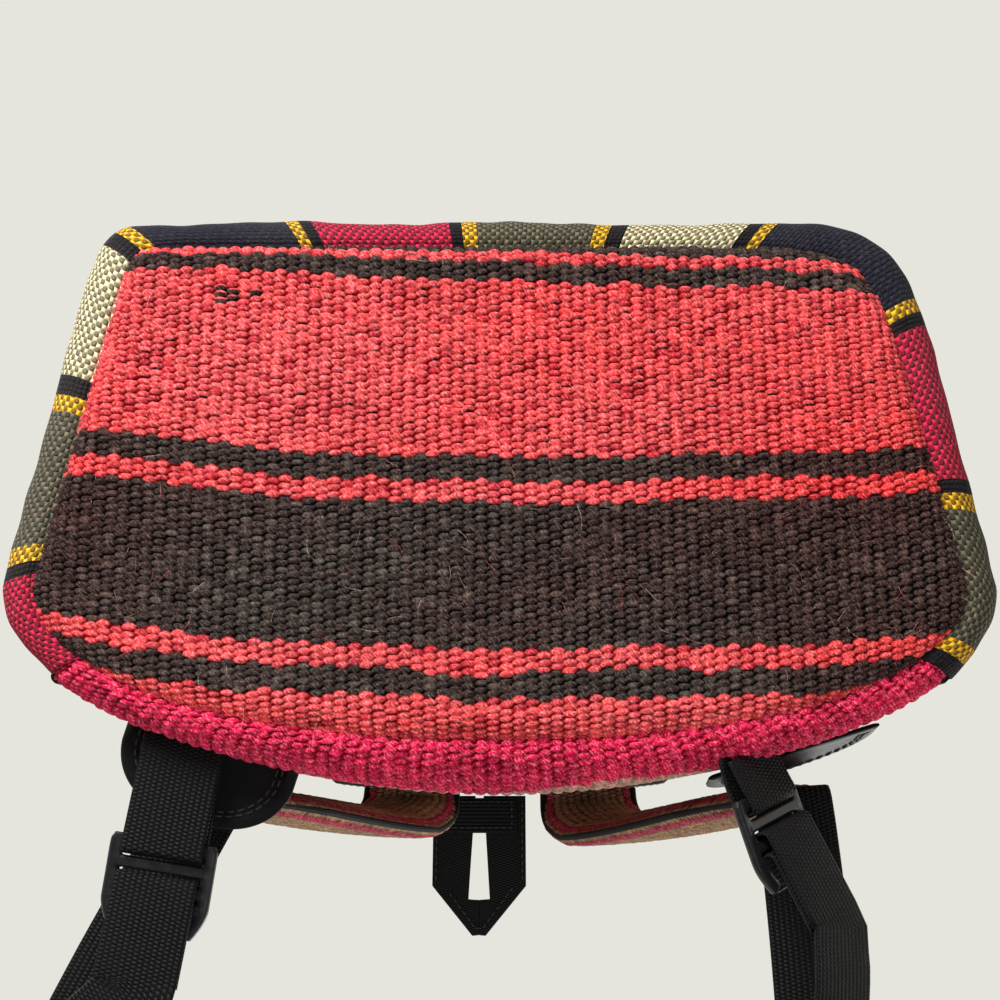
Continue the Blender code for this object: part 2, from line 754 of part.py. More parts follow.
def pad_places(sign, arch):
    """The middle line of a shoulder pad, from under the yoke down to its end."""
    top = YOKE_BOTTOM - CLOTH_GAP - WEBBING_THICKNESS
    places = []
    count = 16
    for i in range(count + 1):
        t = i / count
        z = blend(top, PAD_END_HEIGHT, t)
        swing = t * t * (3.0 - 2.0 * t)
        x = blend(PAD_TOP_X, PAD_END_X, swing)
        stand = blend(YOKE_THICKNESS, PAD_STAND_OFF + PAD_THICKNESS / 2, min(t * 4.0, 1.0))
        y = back_y(x, z) + stand + arch * math.sin(math.pi * math.sqrt(t)) + PAD_END_OFF * t**3
        places.append(Vector((sign * x, y, z)))
    return places


def build_pad(side, sign, arch, group):
    places = pad_places(sign, arch)
    count = len(places) - 1
    rings = []
    for i, here in enumerate(places):
        t = i / count
        way = (places[min(i + 1, count)] - places[max(i - 1, 0)]).normalized()
        across = Vector((1.0, -0.12 * sign * min(t * 4.0, 1.0), 0.0))
        across = (across - way * across.dot(way)).normalized()
        up = across.cross(way)
        edge = min(t * 9.0, (1.0 - t) * 7.0, 1.0)
        swell = math.sin(edge * math.pi / 2)
        half = PAD_HALF_WIDTH * blend(0.86, 1.0, min(t * 3.0, 1.0)) * blend(0.58, 1.0, min((1.0 - t) * 4.0, 1.0))
        deep = PAD_THICKNESS / 2 * blend(0.24, 1.0, swell)
        ring = []
        for k in range(14):
            angle = 2.0 * math.pi * k / 14
            a = math.copysign(abs(math.cos(angle)) ** 0.55, math.cos(angle))
            b = math.copysign(abs(math.sin(angle)) ** 0.7, math.sin(angle))
            ring.append(here + across * (half * a) + up * (deep * b))
        rings.append(ring)
    loft(side + "_shoulder_pad", rings, "beige_rug", group, places[0])
    way = (places[-1] - places[-2]).normalized()
    return places[-1], way, Vector((1.0, -0.12 * sign, 0.0))


def build_strap(side, sign, arch, frame, heading, group):
    end, way, across_end = build_pad(side, sign, arch, group)
    across = frame.to_3x3() @ Vector((1.0, 0.0, 0.0))
    places = [frame @ Vector((0.0, y, z)) for y, z in threaded_line()]
    sides = [across] * len(places)

    turn = math.radians(heading)
    ahead = Vector((-math.sin(turn), math.cos(turn), 0.0))
    level = Vector((math.cos(turn), math.sin(turn), 0.0))
    floor = FLOOR_GAP + FIT_GAP + WEBBING_THICKNESS / 2
    far = places[-1] + ahead * (SLACK_REACH - TAIL_LENGTH)
    far.z = floor
    round_over = []
    for angle in (0.0, 45.0, 90.0, 135.0, 180.0):
        a = math.radians(angle)
        step = ahead * (SLACK_RADIUS * math.sin(a))
        rise = Vector((0.0, 0.0, SLACK_RADIUS * (1.0 - math.cos(a))))
        round_over.append(far + step + rise)
    sewn = end + way * (WEBBING_THICKNESS + MOVING_GAP)
    middle = round_over[-1].lerp(sewn + way * 0.030, 0.5)
    middle.z = max(middle.z, far.z + 2.0 * SLACK_RADIUS) + 0.004
    knots = [places[-1]] + round_over + [middle, sewn + way * 0.016, sewn + way * 0.005]
    free = smooth_line(knots, 4)[1:] + [sewn]
    ending = (across_end - way * across_end.dot(way)).normalized()
    for i, place in enumerate(free):
        t = (i + 1) / len(free)
        flat = min(t * 5.0, 1.0)
        turned = min(max((t - 0.55) / 0.45, 0.0), 1.0)
        direction = across.lerp(level, flat).lerp(ending, turned)
        place.z = max(place.z, floor + WEBBING_WIDTH / 2 * abs(direction.normalized().z))
        places.append(place)
        sides.append(direction)
    name = side + "_strap_webbing"
    ribbon(name, places, sides, WEBBING_WIDTH, WEBBING_THICKNESS, "black_webbing", group)


def flat_shape(name, outline, thickness, frame, look, group, origin=None):
    """A flat outline of (x, y) points made into a plate."""
    rings = []
    for z in (0.0, thickness):
        rings.append([frame @ Vector((x, y, z)) for x, y in outline])
    return loft(name, rings, look, group, origin)


def build_wing(side, x, z, tilt, group):
    step = 0.001
    slope = (back_y(x + step, z) - back_y(x - step, z)) / (2.0 * step)
    turn = math.atan(slope)
    out = 2 * CLOTH_GAP + WING_THICKNESS * math.sin(math.radians(tilt))
    place = Vector((x, back_y(x, z), z)) + Vector((-math.sin(turn), math.cos(turn), 0.0)) * out
    frame = Matrix.Translation(place) @ Matrix.Rotation(turn, 4, "Z")
    frame = frame @ Matrix.Rotation(math.radians(tilt), 4, "X")
    outline = []
    for i in range(19):
        angle = math.pi * i / 18
        a = math.copysign(abs(math.cos(angle)) ** 0.8, math.cos(angle))
        b = math.sin(angle) ** 0.9
        outline.append((WING_WIDTH / 2 * a, CLOTH_GAP + WING_LENGTH * b))
    flat_shape(side + "_wing_tab", outline, WING_THICKNESS, frame, "black_tab", group)


def build_yoke_and_handle(group):
    rows = []
    for i in range(5):
        z = blend(YOKE_BOTTOM, YOKE_TOP, i / 4)
        steps = [blend(YOKE_HALF_WIDTH, -YOKE_HALF_WIDTH, k / 14) for k in range(15)]
        rows.append([Vector((x, back_y(x, z, SKIN_GAP), z)) for x in steps])
    skin("strap_yoke", rows, "black_tab", group, YOKE_THICKNESS, True)

    z = blend(YOKE_BOTTOM, YOKE_TOP, 0.72)
    y = back_y(0.0, z, SKIN_GAP) + YOKE_THICKNESS + 2 * MOVING_GAP + HANDLE_THICKNESS / 2
    pivot = Vector((HANDLE_X, y, z))
    wide = HANDLE_HALF_WIDTH
    narrow = HANDLE_SLIT_ROOT / 2
    slit = HANDLE_SLIT_END / 2
    shoulder = HANDLE_LENGTH - HANDLE_POINT
    outline = [
        (wide, 0.0),
        (wide, shoulder),
        (wide * 0.14, HANDLE_LENGTH),
        (-wide * 0.14, HANDLE_LENGTH),
        (-wide, shoulder),
        (-wide, 0.0),
        (-narrow, 0.0),
        (-slit, HANDLE_SLIT_LENGTH),
        (slit, HANDLE_SLIT_LENGTH),
        (narrow, 0.0),
    ]
    frame = Matrix.Translation(pivot) @ Matrix.Rotation(math.radians(-HANDLE_DROOP), 4, "X")
    frame = frame @ Matrix.Translation((0.0, 0.0, -HANDLE_THICKNESS / 2))
    flat_shape("grab_handle", outline, HANDLE_THICKNESS, frame, "black_webbing", group, pivot)


def build():
    clear_scene()
    parts = new_collection("hiking_backpack")
    cutters = new_collection("cutters")
    build_body(parts)
    build_inside(parts)
    build_zip_and_lid(parts, cutters)
    build_yoke_and_handle(parts)
    build_wing("left", LEFT_WING_INSET - BASE_HALF_WIDTH, LEFT_WING_HEIGHT, LEFT_WING_TILT, parts)
    build_wing("right", BASE_HALF_WIDTH - RIGHT_WING_INSET, RIGHT_WING_HEIGHT, RIGHT_WING_TILT, parts)
    left = LEFT_LOCK_INSET - BASE_HALF_WIDTH
    right = BASE_HALF_WIDTH - RIGHT_LOCK_INSET
    frame = lock_frame(left, LEFT_LOCK_HEIGHT, LEFT_LOCK_REACH, LEFT_LOCK_HEADING, LEFT_LOCK_ROLL)
    build_lock("left", frame, parts)
    build_anchor("left", frame, LEFT_LOCK_REACH, parts)
    build_strap("left", -1.0, LEFT_PAD_ARCH, frame, LEFT_SLACK_HEADING, parts)
    frame = lock_frame(right, RIGHT_LOCK_HEIGHT, RIGHT_LOCK_REACH, RIGHT_LOCK_HEADING, RIGHT_LOCK_ROLL)
    build_lock("right", frame, parts)
    build_anchor("right", frame, RIGHT_LOCK_REACH, parts)
    build_strap("right", 1.0, RIGHT_PAD_ARCH, frame, RIGHT_SLACK_HEADING, parts)


build()
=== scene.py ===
import math
import bmesh
import bpy
import numpy as np
from mathutils import Matrix, Vector


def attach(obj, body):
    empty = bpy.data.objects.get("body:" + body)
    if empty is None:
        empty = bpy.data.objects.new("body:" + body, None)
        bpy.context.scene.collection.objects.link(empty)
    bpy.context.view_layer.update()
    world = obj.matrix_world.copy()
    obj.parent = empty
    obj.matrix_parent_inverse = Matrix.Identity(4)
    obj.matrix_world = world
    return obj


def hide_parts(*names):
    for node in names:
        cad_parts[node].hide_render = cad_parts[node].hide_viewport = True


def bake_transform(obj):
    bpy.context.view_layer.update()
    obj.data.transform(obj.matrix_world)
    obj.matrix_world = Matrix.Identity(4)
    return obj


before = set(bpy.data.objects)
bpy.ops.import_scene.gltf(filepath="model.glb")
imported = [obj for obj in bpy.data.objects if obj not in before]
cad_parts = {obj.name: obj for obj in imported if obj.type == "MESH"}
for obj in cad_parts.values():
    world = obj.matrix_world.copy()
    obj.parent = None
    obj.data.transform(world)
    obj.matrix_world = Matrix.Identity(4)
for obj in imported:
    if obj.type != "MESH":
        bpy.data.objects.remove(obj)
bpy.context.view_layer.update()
scene = bpy.context.scene
scene.view_settings.view_transform = "Standard"
print("frame loaded:", len(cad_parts), "nodes")


# small helpers

def tone(red, green, blue):  # screen colour 0-255 to linear
    out = []
    for part in (red, green, blue):
        c = part / 255
        out.append(c / 12.92 if c <= 0.04045 else ((c + 0.055) / 1.055) ** 2.4)
    return (*out, 1.0)


def mixed(low, high, share):
    return low + (high - low) * share


def gridFaces(rows, columns, wrap=False):
    r = np.arange(rows - 1)[:, None]
    c = np.arange(columns if wrap else columns - 1)[None, :]
    nextColumn = (c + 1) % columns
    a = r * columns + c
    b = r * columns + nextColumn
    return np.stack([a, b, b + columns, a + columns], axis=-1).reshape(-1, 4)


def unit(value):  # kept between 0 and 1
    return min(max(value, 0.0), 1.0)


def softened(value, power):  # squarer or rounder wave, with its sign kept
    return math.copysign(abs(value) ** power, value)


def pathMarks(places):  # distance run at each point of a line
    return np.concatenate([[0.0], np.cumsum(np.linalg.norm(np.diff(places, axis=0), axis=1))])


def vectorMarks(places):
    return np.concatenate([[0.0], np.cumsum([(b - a).length for a, b in zip(places, places[1:])])])


def pathLength(places):
    return np.linalg.norm(np.diff(places, axis=0), axis=1).sum()


def atHeight(run, z):  # flat outline lifted to z
    return np.column_stack([run, np.full(len(run), z)])


def cornerLine(corners, steps=0):  # places along straight runs, every 2 mm unless steps is given
    line = []
    for (x0, y0), (x1, y1) in zip(corners, corners[1:]):
        count = steps or max(int(math.hypot(x1 - x0, y1 - y0) / 0.002), 2)
        line += [(mixed(x0, x1, i / count), mixed(y0, y1, i / count)) for i in range(count)]
    return line


def meshPiece(name, points, faces):
    mesh = bpy.data.meshes.new(name)
    points = np.asarray(points, float).reshape(-1, 3)
    mesh.from_pydata(points.tolist(), [], [list(map(int, f)) for f in faces])
    mesh.shade_smooth()
    thing = bpy.data.objects.new(name, mesh)
    scene.collection.objects.link(thing)
    return thing


def outwards(thing):  # faces of a closed piece turned outward
    shape = bmesh.new()
    shape.from_mesh(thing.data)
    bmesh.ops.recalc_face_normals(shape, faces=shape.faces)
    shape.to_mesh(thing.data)
    shape.free()


def giveUv(thing, name, us, vs):  # one u and v for each point
    layer = thing.data.uv_layers.new(name=name)
    corner = np.empty(len(thing.data.loops), int)
    thing.data.loops.foreach_get("vertex_index", corner)
    pairs = np.stack([np.asarray(us)[corner], np.asarray(vs)[corner]], axis=1)
    layer.data.foreach_set("uv", pairs.astype(np.float32).ravel())


def giveBeads(thing, tints, heights):  # yarn colour and bead height, read by the rug look
    tint = thing.data.attributes.new("beadTint", "FLOAT_COLOR", "POINT")
    tint.data.foreach_set("color", np.asarray(tints, np.float32).ravel())
    height = thing.data.attributes.new("beadHeight", "FLOAT", "POINT")
    height.data.foreach_set("value", np.asarray(heights, np.float32).ravel())


def thicken(thing, name, thickness, offset):
    wall = thing.modifiers.new(name, "SOLIDIFY")
    wall.thickness = thickness
    wall.offset = offset


def dress(thing, body, slot, nodes=(), ride=True):  # look, record slot, body and the nodes it stands for
    thing.data.materials.clear()
    thing.data.materials.append(looks[slot])
    if ride:
        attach(thing, body)
    if nodes:
        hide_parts(*nodes)
    return thing


# outline of the bag: a soft trapezium that bulges and leans with height

bag = {
    "halfWidth": 0.176, "frontReach": 0.106, "backReach": 0.089, "widestReach": 0.030,
    "frontTaper": 0.030, "seamHeight": 0.0045, "seamGroove": 0.0030, "rollHeight": 0.030,
    "rollOut": 0.016, "bellyOut": 0.014, "rimHeight": 0.400, "rimOut": -0.004, "backLean": 0.012,
    "seamAngle": 28.0, "leftFrontPower": 24.0, "rightFrontPower": 10.0,
    "baseBackPower": 2.2, "rollBackPower": 1.8, "rimBackPower": 2.3,
    "lidBase": 0.4236, "lidTop": 0.4536, "backTop": 0.4168,
}
rollTop = bag["seamHeight"] + bag["rollHeight"]


def heightShare(z):
    return unit((z - rollTop) / (bag["rimHeight"] - rollTop))


def bodyOut(z):  # how far the wall stands out from the base seam
    if z < rollTop:
        drop = min((rollTop - z) / bag["rollHeight"], 1.0)
        return bag["seamGroove"] + bag["rollOut"] * math.sqrt(1.0 - drop * drop)
    share = heightShare(z)
    level = mixed(bag["rollOut"], bag["rimOut"], share)
    return bag["seamGroove"] * (1.0 - share) + level + bag["bellyOut"] * math.sin(math.pi * share)


def backReach(z, out):
    share = heightShare(z)
    flat = bag["bellyOut"] * math.sin(math.pi * share) + bag["backLean"] * share
    return bag["backReach"] - bag["widestReach"] + out - flat


def backPower(z):
    rise = unit((z - bag["seamHeight"]) / bag["rollHeight"])
    return mixed(mixed(bag["baseBackPower"], bag["rollBackPower"], rise), bag["rimBackPower"], heightShare(z))


def outlineRun(first, last, z, out, count, trim=0.0, backInset=0.0):  # even places round the bag, in degrees
    angles = np.radians(np.linspace(first, last, 1441))
    across = np.cos(angles)
    along = np.sin(angles)
    atBack = along >= 0.0
    frontPower = np.where(across < 0.0, bag["leftFrontPower"], bag["rightFrontPower"])
    power = np.where(atBack, 2.0 / backPower(z), 2.0 / frontPower)
    reach = np.where(atBack, backReach(z, out) - backInset, bag["frontReach"] + bag["widestReach"] + out)
    half = bag["halfWidth"] + out - np.where(atBack, 0.0, bag["frontTaper"] * np.abs(along) ** power)
    x = np.sign(across) * half * np.abs(across) ** power
    y = bag["widestReach"] + np.sign(along) * reach * np.abs(along) ** power
    marks = np.concatenate([[0.0], np.cumsum(np.hypot(np.diff(x), np.diff(y)))])
    want = np.linspace(trim, marks[-1] - trim, count + 1)
    return np.stack([np.interp(want, marks, x), np.interp(want, marks, y)], axis=1)


def backY(x, z, off=0.0):
    out = bodyOut(z) + off
    power = backPower(z)
    share = min(abs(x) / (bag["halfWidth"] + out), 0.999)
    return bag["widestReach"] + backReach(z, out) * (1.0 - share**power) ** (1.0 / power)


tuck = [(0.0080, -0.0040), (0.0064, -0.0004), (0.0052, 0.0020)]  # cloth turned in under the base
seam = {"tight": 0.0002, "wide": 0.0020, "start": 0.012, "over": 0.010}


def seamTrim(z, out):  # room left for the black edging at the corner seam
    if (z, out) in tuck:
        return seam["tight"]
    return mixed(seam["tight"], seam["wide"], unit((z - seam["start"]) / seam["over"]))


def rollHeight(angle):
    return bag["seamHeight"] + bag["rollHeight"] * (1.0 - math.cos(angle))


def bodyHeights(top, rollSteps, wallSteps):
    roll = [rollHeight(math.pi / 2 * i / rollSteps) for i in range(rollSteps)]
    wall = [mixed(rollTop, bag["rimHeight"], i / wallSteps) for i in range(wallSteps + 1)]
    return roll + wall + ([top] if top > bag["rimHeight"] else [])


def bodyLevels(top, rollSteps, wallSteps):
    return tuck + [(z, bodyOut(z)) for z in bodyHeights(top, rollSteps, wallSteps)]


# shader pieces

def maths(tree, operation, first, second=None, clamp=False):
    step = tree.nodes.new("ShaderNodeMath")
    step.operation = operation
    step.use_clamp = clamp
    for socket, value in zip(step.inputs, (first, second)):
        if isinstance(value, (int, float)):
            socket.default_value = value
        elif value is not None:
            tree.links.new(value, socket)
    return step.outputs[0]


def mixColour(tree, factor, first, second, way="MIX"):
    step = tree.nodes.new("ShaderNodeMix")
    step.data_type = "RGBA"
    step.blend_type = way
    for index, value in ((0, factor), (6, first), (7, second)):
        if isinstance(value, (int, float, tuple)):
            step.inputs[index].default_value = value
        else:
            tree.links.new(value, step.inputs[index])
    return step.outputs[2]


def spread(tree, value, fromLow, fromHigh, toLow, toHigh, kind="LINEAR"):
    step = tree.nodes.new("ShaderNodeMapRange")
    step.interpolation_type = kind
    tree.links.new(value, step.inputs[0])
    for index, number in enumerate((fromLow, fromHigh, toLow, toHigh)):
        step.inputs[index + 1].default_value = number
    return step.outputs[0]


def grain(tree, scale, detail=3.0, rough=0.6, stretch=(1, 1, 1), turn=(0, 0, 0), vector=None):
    if vector is None:
        vector = tree.nodes.new("ShaderNodeTexCoord").outputs["Object"]
    placing = tree.nodes.new("ShaderNodeMapping")
    placing.vector_type = "TEXTURE"
    placing.inputs["Scale"].default_value = [1.0 / share for share in stretch]
    placing.inputs["Rotation"].default_value = turn
    tree.links.new(vector, placing.inputs["Vector"])
    noise = tree.nodes.new("ShaderNodeTexNoise")
    noise.inputs["Detail"].default_value = detail
    noise.inputs["Roughness"].default_value = rough
    tree.links.new(placing.outputs[0], noise.inputs["Vector"])
    if isinstance(scale, (int, float)):
        noise.inputs["Scale"].default_value = scale
    else:
        tree.links.new(scale, noise.inputs["Scale"])
    return noise.outputs["Fac"]


def newGroup(name, inputs, outputs):
    group = bpy.data.node_groups.new(name, "ShaderNodeTree")
    for label, kind, value in inputs:
        socket = group.interface.new_socket(label, in_out="INPUT", socket_type="NodeSocket" + kind)
        if value is not None:
            socket.default_value = value
    for label, kind in outputs:
        group.interface.new_socket(label, in_out="OUTPUT", socket_type="NodeSocket" + kind)
    return group, group.nodes.new("NodeGroupInput").outputs, group.nodes.new("NodeGroupOutput").inputs


def rugYarnGroup():  # wool beads: painted shade in the gaps, painted highlights on the bead tops, slanting fibres, dusty patches
    inputs = [
        ("Tint", "Color", (0.5, 0.5, 0.5, 1)), ("Height", "Float", 0.5),
        ("Fibre Scale", "Float", 900.0), ("Gap", "Float", 0.25),
    ]
    group, given, put = newGroup("rugYarn", inputs, [("Color", "Color"), ("Bump", "Float")])
    fibre = grain(group, given["Fibre Scale"], 2.0, 0.55, (0.30, 1.4, 1.4), (0.0, -0.56, 0.785))
    tuft = grain(group, 330.0, 2.0, 0.6)
    patch = grain(group, 24.0, 3.0, 0.6)
    # painted shade: the gaps between beads get a darker, more saturated copy of the yarn colour, mixed in by
    # bead height
    gapShadeTint = mixColour(group, 1.0, given["Tint"], given["Tint"], "MULTIPLY")
    deep = mixColour(group, given["Gap"], gapShadeTint, given["Tint"])
    deep = mixColour(group, 1.0, deep, (0.42, 0.42, 0.42, 1.0), "MULTIPLY")
    raised = spread(group, given["Height"], 0.18, 0.84, 0.0, 1.0, "SMOOTHSTEP")
    colour = mixColour(group, raised, deep, given["Tint"])
    strands = spread(group, fibre, 0.30, 0.70, 0.50, 1.36)
    shade = maths(group, "MULTIPLY", strands, spread(group, tuft, 0.3, 0.7, 0.78, 1.20))
    shade = maths(group, "MULTIPLY", shade, spread(group, patch, 0.3, 0.7, 0.88, 1.10))
    colour = mixColour(group, 1.0, colour, shade, "MULTIPLY")
    # painted highlight: paler colour is added on the raised bead tops along the fibre peaks
    lit = maths(group, "MULTIPLY", spread(group, fibre, 0.50, 0.76, 0.0, 1.0), raised)
    colour = mixColour(group, lit, colour, (0.12, 0.095, 0.088, 1.0), "ADD")
    parts = group.nodes.new("ShaderNodeSeparateColor")
    group.links.new(given["Tint"], parts.inputs[0])
    highlightTint = group.nodes.new("ShaderNodeCombineColor")
    for index, part in ((1, 0.20), (2, 0.18)):
        group.links.new(maths(group, "MULTIPLY", parts.outputs[0], part), highlightTint.inputs[index])
    colour = mixColour(group, lit, colour, highlightTint.outputs[0], "ADD")
    group.links.new(colour, put["Color"])
    group.links.new(maths(group, "ADD", maths(group, "MULTIPLY", given["Height"], 0.35), fibre), put["Bump"])
    return group


def plainWeaveGroup():  # over-one-under-one cloth
    inputs = [("Vector", "Vector", None), ("Pitch", "Float", 0.0018)]
    group, given, put = newGroup("plainWeave", inputs, [("Height", "Float"), ("Over", "Float")])
    split = group.nodes.new("ShaderNodeSeparateXYZ")
    group.links.new(given["Vector"], split.inputs[0])
    waves = []
    for axis in (0, 1):
        turns = maths(group, "DIVIDE", maths(group, "MULTIPLY", split.outputs[axis], math.pi), given["Pitch"])
        uneven = grain(group, 170.0 + 60.0 * axis, 2.0, 0.5, vector=given["Vector"])  # threads wander
        turns = maths(group, "ADD", turns, spread(group, uneven, 0.0, 1.0, -1.6, 1.6))
        waves.append(maths(group, "SINE", turns))
    both = maths(group, "MULTIPLY", waves[0], waves[1])
    group.links.new(maths(group, "POWER", maths(group, "ABSOLUTE", both), 0.6), put["Height"])
    group.links.new(spread(group, both, -0.26, 0.16, 0.0, 1.0), put["Over"])
    return group


def webbingGroup():  # rows of small woven dots along a strap
    inputs = [("Vector", "Vector", None), ("Row", "Float", 0.0022), ("Dot", "Float", 0.0015)]
    group, given, put = newGroup("webbingRows", inputs, [("Height", "Float")])
    split = group.nodes.new("ShaderNodeSeparateXYZ")
    group.links.new(given["Vector"], split.inputs[0])
    rows = maths(group, "DIVIDE", split.outputs[0], given["Row"])
    shift = maths(group, "MULTIPLY", maths(group, "FLOOR", rows), 0.5)
    across = maths(group, "ABSOLUTE", maths(group, "SINE", maths(group, "MULTIPLY", rows, math.pi)))
    dots = maths(group, "ADD", maths(group, "DIVIDE", split.outputs[1], given["Dot"]), shift)
    along = maths(group, "ABSOLUTE", maths(group, "SINE", maths(group, "MULTIPLY", dots, math.pi)))
    group.links.new(maths(group, "POWER", maths(group, "MULTIPLY", across, along), 0.5), put["Height"])
    return group


def clothWearGroup():  # rubbed and dusty places
    inputs = [
        ("Color", "Color", (0.5, 0.5, 0.5, 1)), ("Amount", "Float", 0.3),
        ("Scale", "Float", 18.0), ("Dust", "Color", (0.4, 0.37, 0.33, 1)),
    ]
    group, given, put = newGroup("clothWear", inputs, [("Color", "Color"), ("Mask", "Float")])
    broad = grain(group, given["Scale"], 5.0, 0.65)
    lint = grain(group, 520.0, 2.0, 0.7, (0.5, 1.6, 1.0), (0.4, 0.9, 0.2))
    rubbed = maths(group, "MULTIPLY", spread(group, broad, 0.46, 0.72, 0.0, 1.0), 0.6)
    mask = maths(group, "ADD", rubbed, spread(group, lint, 0.66, 0.80, 0.0, 0.8), True)
    amount = maths(group, "MULTIPLY", mask, given["Amount"])
    group.links.new(mixColour(group, amount, given["Color"], given["Dust"]), put["Color"])
    group.links.new(mask, put["Mask"])
    return group


groups = {
    "rugYarn": rugYarnGroup(), "plainWeave": plainWeaveGroup(),
    "webbingRows": webbingGroup(), "clothWear": clothWearGroup(),
}


def newMaterial(name):
    material = bpy.data.materials.new(name)
    material.use_nodes = True
    tree = material.node_tree
    return material, tree, tree.nodes["Principled BSDF"]


def placeGroup(tree, name, **values):
    made = tree.nodes.new("ShaderNodeGroup")
    made.node_tree = groups[name]
    for key, value in values.items():
        socket = made.inputs[key]
        if isinstance(value, (int, float, tuple)):
            socket.default_value = value
        else:
            tree.links.new(value, socket)
    return made.outputs


def bumpInto(tree, shader, height, distance, strength=1.0):
    bump = tree.nodes.new("ShaderNodeBump")
    bump.inputs["Strength"].default_value = strength
    bump.inputs["Distance"].default_value = distance
    tree.links.new(height, bump.inputs["Height"])
    tree.links.new(bump.outputs[0], shader.inputs["Normal"])


def fromAttribute(tree, name, output):
    made = tree.nodes.new("ShaderNodeAttribute")
    made.attribute_name = name
    return made.outputs[output]


def uvOf(tree, name):
    made = tree.nodes.new("ShaderNodeUVMap")
    made.uv_map = name
    return made.outputs[0]


def rugMaterial(name, gap, fibreScale=1250.0):
    material, tree, shader = newMaterial(name)
    tint = fromAttribute(tree, "beadTint", "Color")
    height = fromAttribute(tree, "beadHeight", "Fac")
    # gap sets how much plain yarn colour goes into the painted shade between the beads
    yarn = placeGroup(tree, "rugYarn", Tint=tint, Height=height, Gap=gap, **{"Fibre Scale": fibreScale})
    tree.links.new(yarn["Color"], shader.inputs["Base Color"])
    shader.inputs["Roughness"].default_value = 0.95
    shader.inputs["Specular IOR Level"].default_value = 0.06
    shader.inputs["Sheen Weight"].default_value = 0.03
    shader.inputs["Sheen Roughness"].default_value = 0.4
    bumpInto(tree, shader, yarn["Bump"], 0.0006)
    return material


wrapLook = {  # widths along the cloth in metres; the first stripe starts left of the front's middle
    "start": -0.0786, "pitch": 0.0019, "sideStretch": 0.86, "frontHalf": 0.140,
    "stripes": [
        (0.0570, tone(222, 46, 80)), (0.0050, tone(26, 24, 30)), (0.0058, tone(250, 190, 44)),
        (0.0505, tone(112, 106, 84)), (0.0060, tone(250, 190, 44)), (0.0070, tone(26, 24, 30)),
        (0.0505, tone(238, 224, 178)), (0.0056, tone(26, 24, 30)), (0.0056, tone(250, 190, 44)),
        (0.0625, tone(40, 42, 58)), (0.0054, tone(250, 190, 44)), (0.0052, tone(26, 24, 30)),
    ],
    "weft": tone(36, 27, 26),
}


def stripedClothMaterial():
    material, tree, shader = newMaterial("stripedCloth")
    place = uvOf(tree, "clothPlace")
    split = tree.nodes.new("ShaderNodeSeparateXYZ")
    tree.links.new(place, split.inputs[0])
    cycle = sum(width for width, colour in wrapLook["stripes"])
    shifted = maths(tree, "DIVIDE", maths(tree, "SUBTRACT", split.outputs[0], wrapLook["start"]), cycle)
    ramp = tree.nodes.new("ShaderNodeValToRGB")
    ramp.color_ramp.interpolation = "CONSTANT"
    tree.links.new(maths(tree, "FRACT", shifted), ramp.inputs[0])
    stops = ramp.color_ramp.elements
    at = 0.0
    for number, (width, colour) in enumerate(wrapLook["stripes"]):
        stop = stops[0] if number == 0 else stops.new(min(at / cycle, 0.999))
        stop.color = colour
        at += width
    stops[len(wrapLook["stripes"])].color = wrapLook["stripes"][-1][1]
    weave = placeGroup(tree, "plainWeave", Vector=place, Pitch=wrapLook["pitch"])
    thread = grain(tree, 520.0, 3.0, 0.6, (1.0, 0.3, 1.0), vector=place)
    colour = mixColour(tree, 1.0, ramp.outputs[0], spread(tree, thread, 0.3, 0.7, 0.58, 1.30), "MULTIPLY")
    weft = mixColour(tree, 0.22, wrapLook["weft"], ramp.outputs[0])
    # painted shade: the dark weft between the raised threads is darkened further where the weave height is
    # low
    under = mixColour(tree, 1.0, weft, spread(tree, weave["Height"], 0.0, 1.0, 0.45, 1.0), "MULTIPLY")
    colour = mixColour(tree, weave["Over"], under, colour)
    worn = placeGroup(tree, "clothWear", Color=colour, Amount=0.10, Scale=14.0)
    tree.links.new(worn["Color"], shader.inputs["Base Color"])
    shader.inputs["Roughness"].default_value = 0.9
    shader.inputs["Specular IOR Level"].default_value = 0.10
    shader.inputs["Sheen Weight"].default_value = 0.03
    bumpInto(tree, shader, weave["Height"], 0.0010)
    return material


def webbingMaterial(name, colour, dust, rough):
    material, tree, shader = newMaterial(name)
    rows = placeGroup(tree, "webbingRows", Vector=uvOf(tree, "strapPlace"))
    # painted shade and highlight: the colour darkens between the woven dots and brightens on their tops, by
    # weave height
    shade = mixColour(tree, 1.0, colour, spread(tree, rows["Height"], 0.0, 1.0, 0.35, 1.35), "MULTIPLY")
    worn = placeGroup(tree, "clothWear", Color=shade, Amount=dust, Scale=40.0)
    tree.links.new(worn["Color"], shader.inputs["Base Color"])
    tree.links.new(spread(tree, worn["Mask"], 0.0, 1.0, rough, 0.85), shader.inputs["Roughness"])
    shader.inputs["Specular IOR Level"].default_value = 0.22
    bumpInto(tree, shader, rows["Height"], 0.0006)
    return material


def plainClothMaterial(name, colour, pitch, dust, rough, bump=0.00025):
    material, tree, shader = newMaterial(name)
    shader.inputs["Specular IOR Level"].default_value = 0.18
    place = uvOf(tree, "clothPlace")
    weave = placeGroup(tree, "plainWeave", Vector=place, Pitch=pitch)
    # painted shade and highlight: the colour darkens in the weave hollows and brightens on the thread tops,
    # by weave height
    shade = mixColour(tree, 1.0, colour, spread(tree, weave["Height"], 0.0, 1.0, 0.5, 1.25), "MULTIPLY")
    worn = placeGroup(tree, "clothWear", Color=shade, Amount=dust, Scale=30.0)
    tree.links.new(worn["Color"], shader.inputs["Base Color"])
    dull = spread(tree, worn["Mask"], 0.0, 1.0, rough, min(rough + 0.2, 1.0))
    tree.links.new(dull, shader.inputs["Roughness"])
    bumpInto(tree, shader, weave["Height"], bump)
    return material


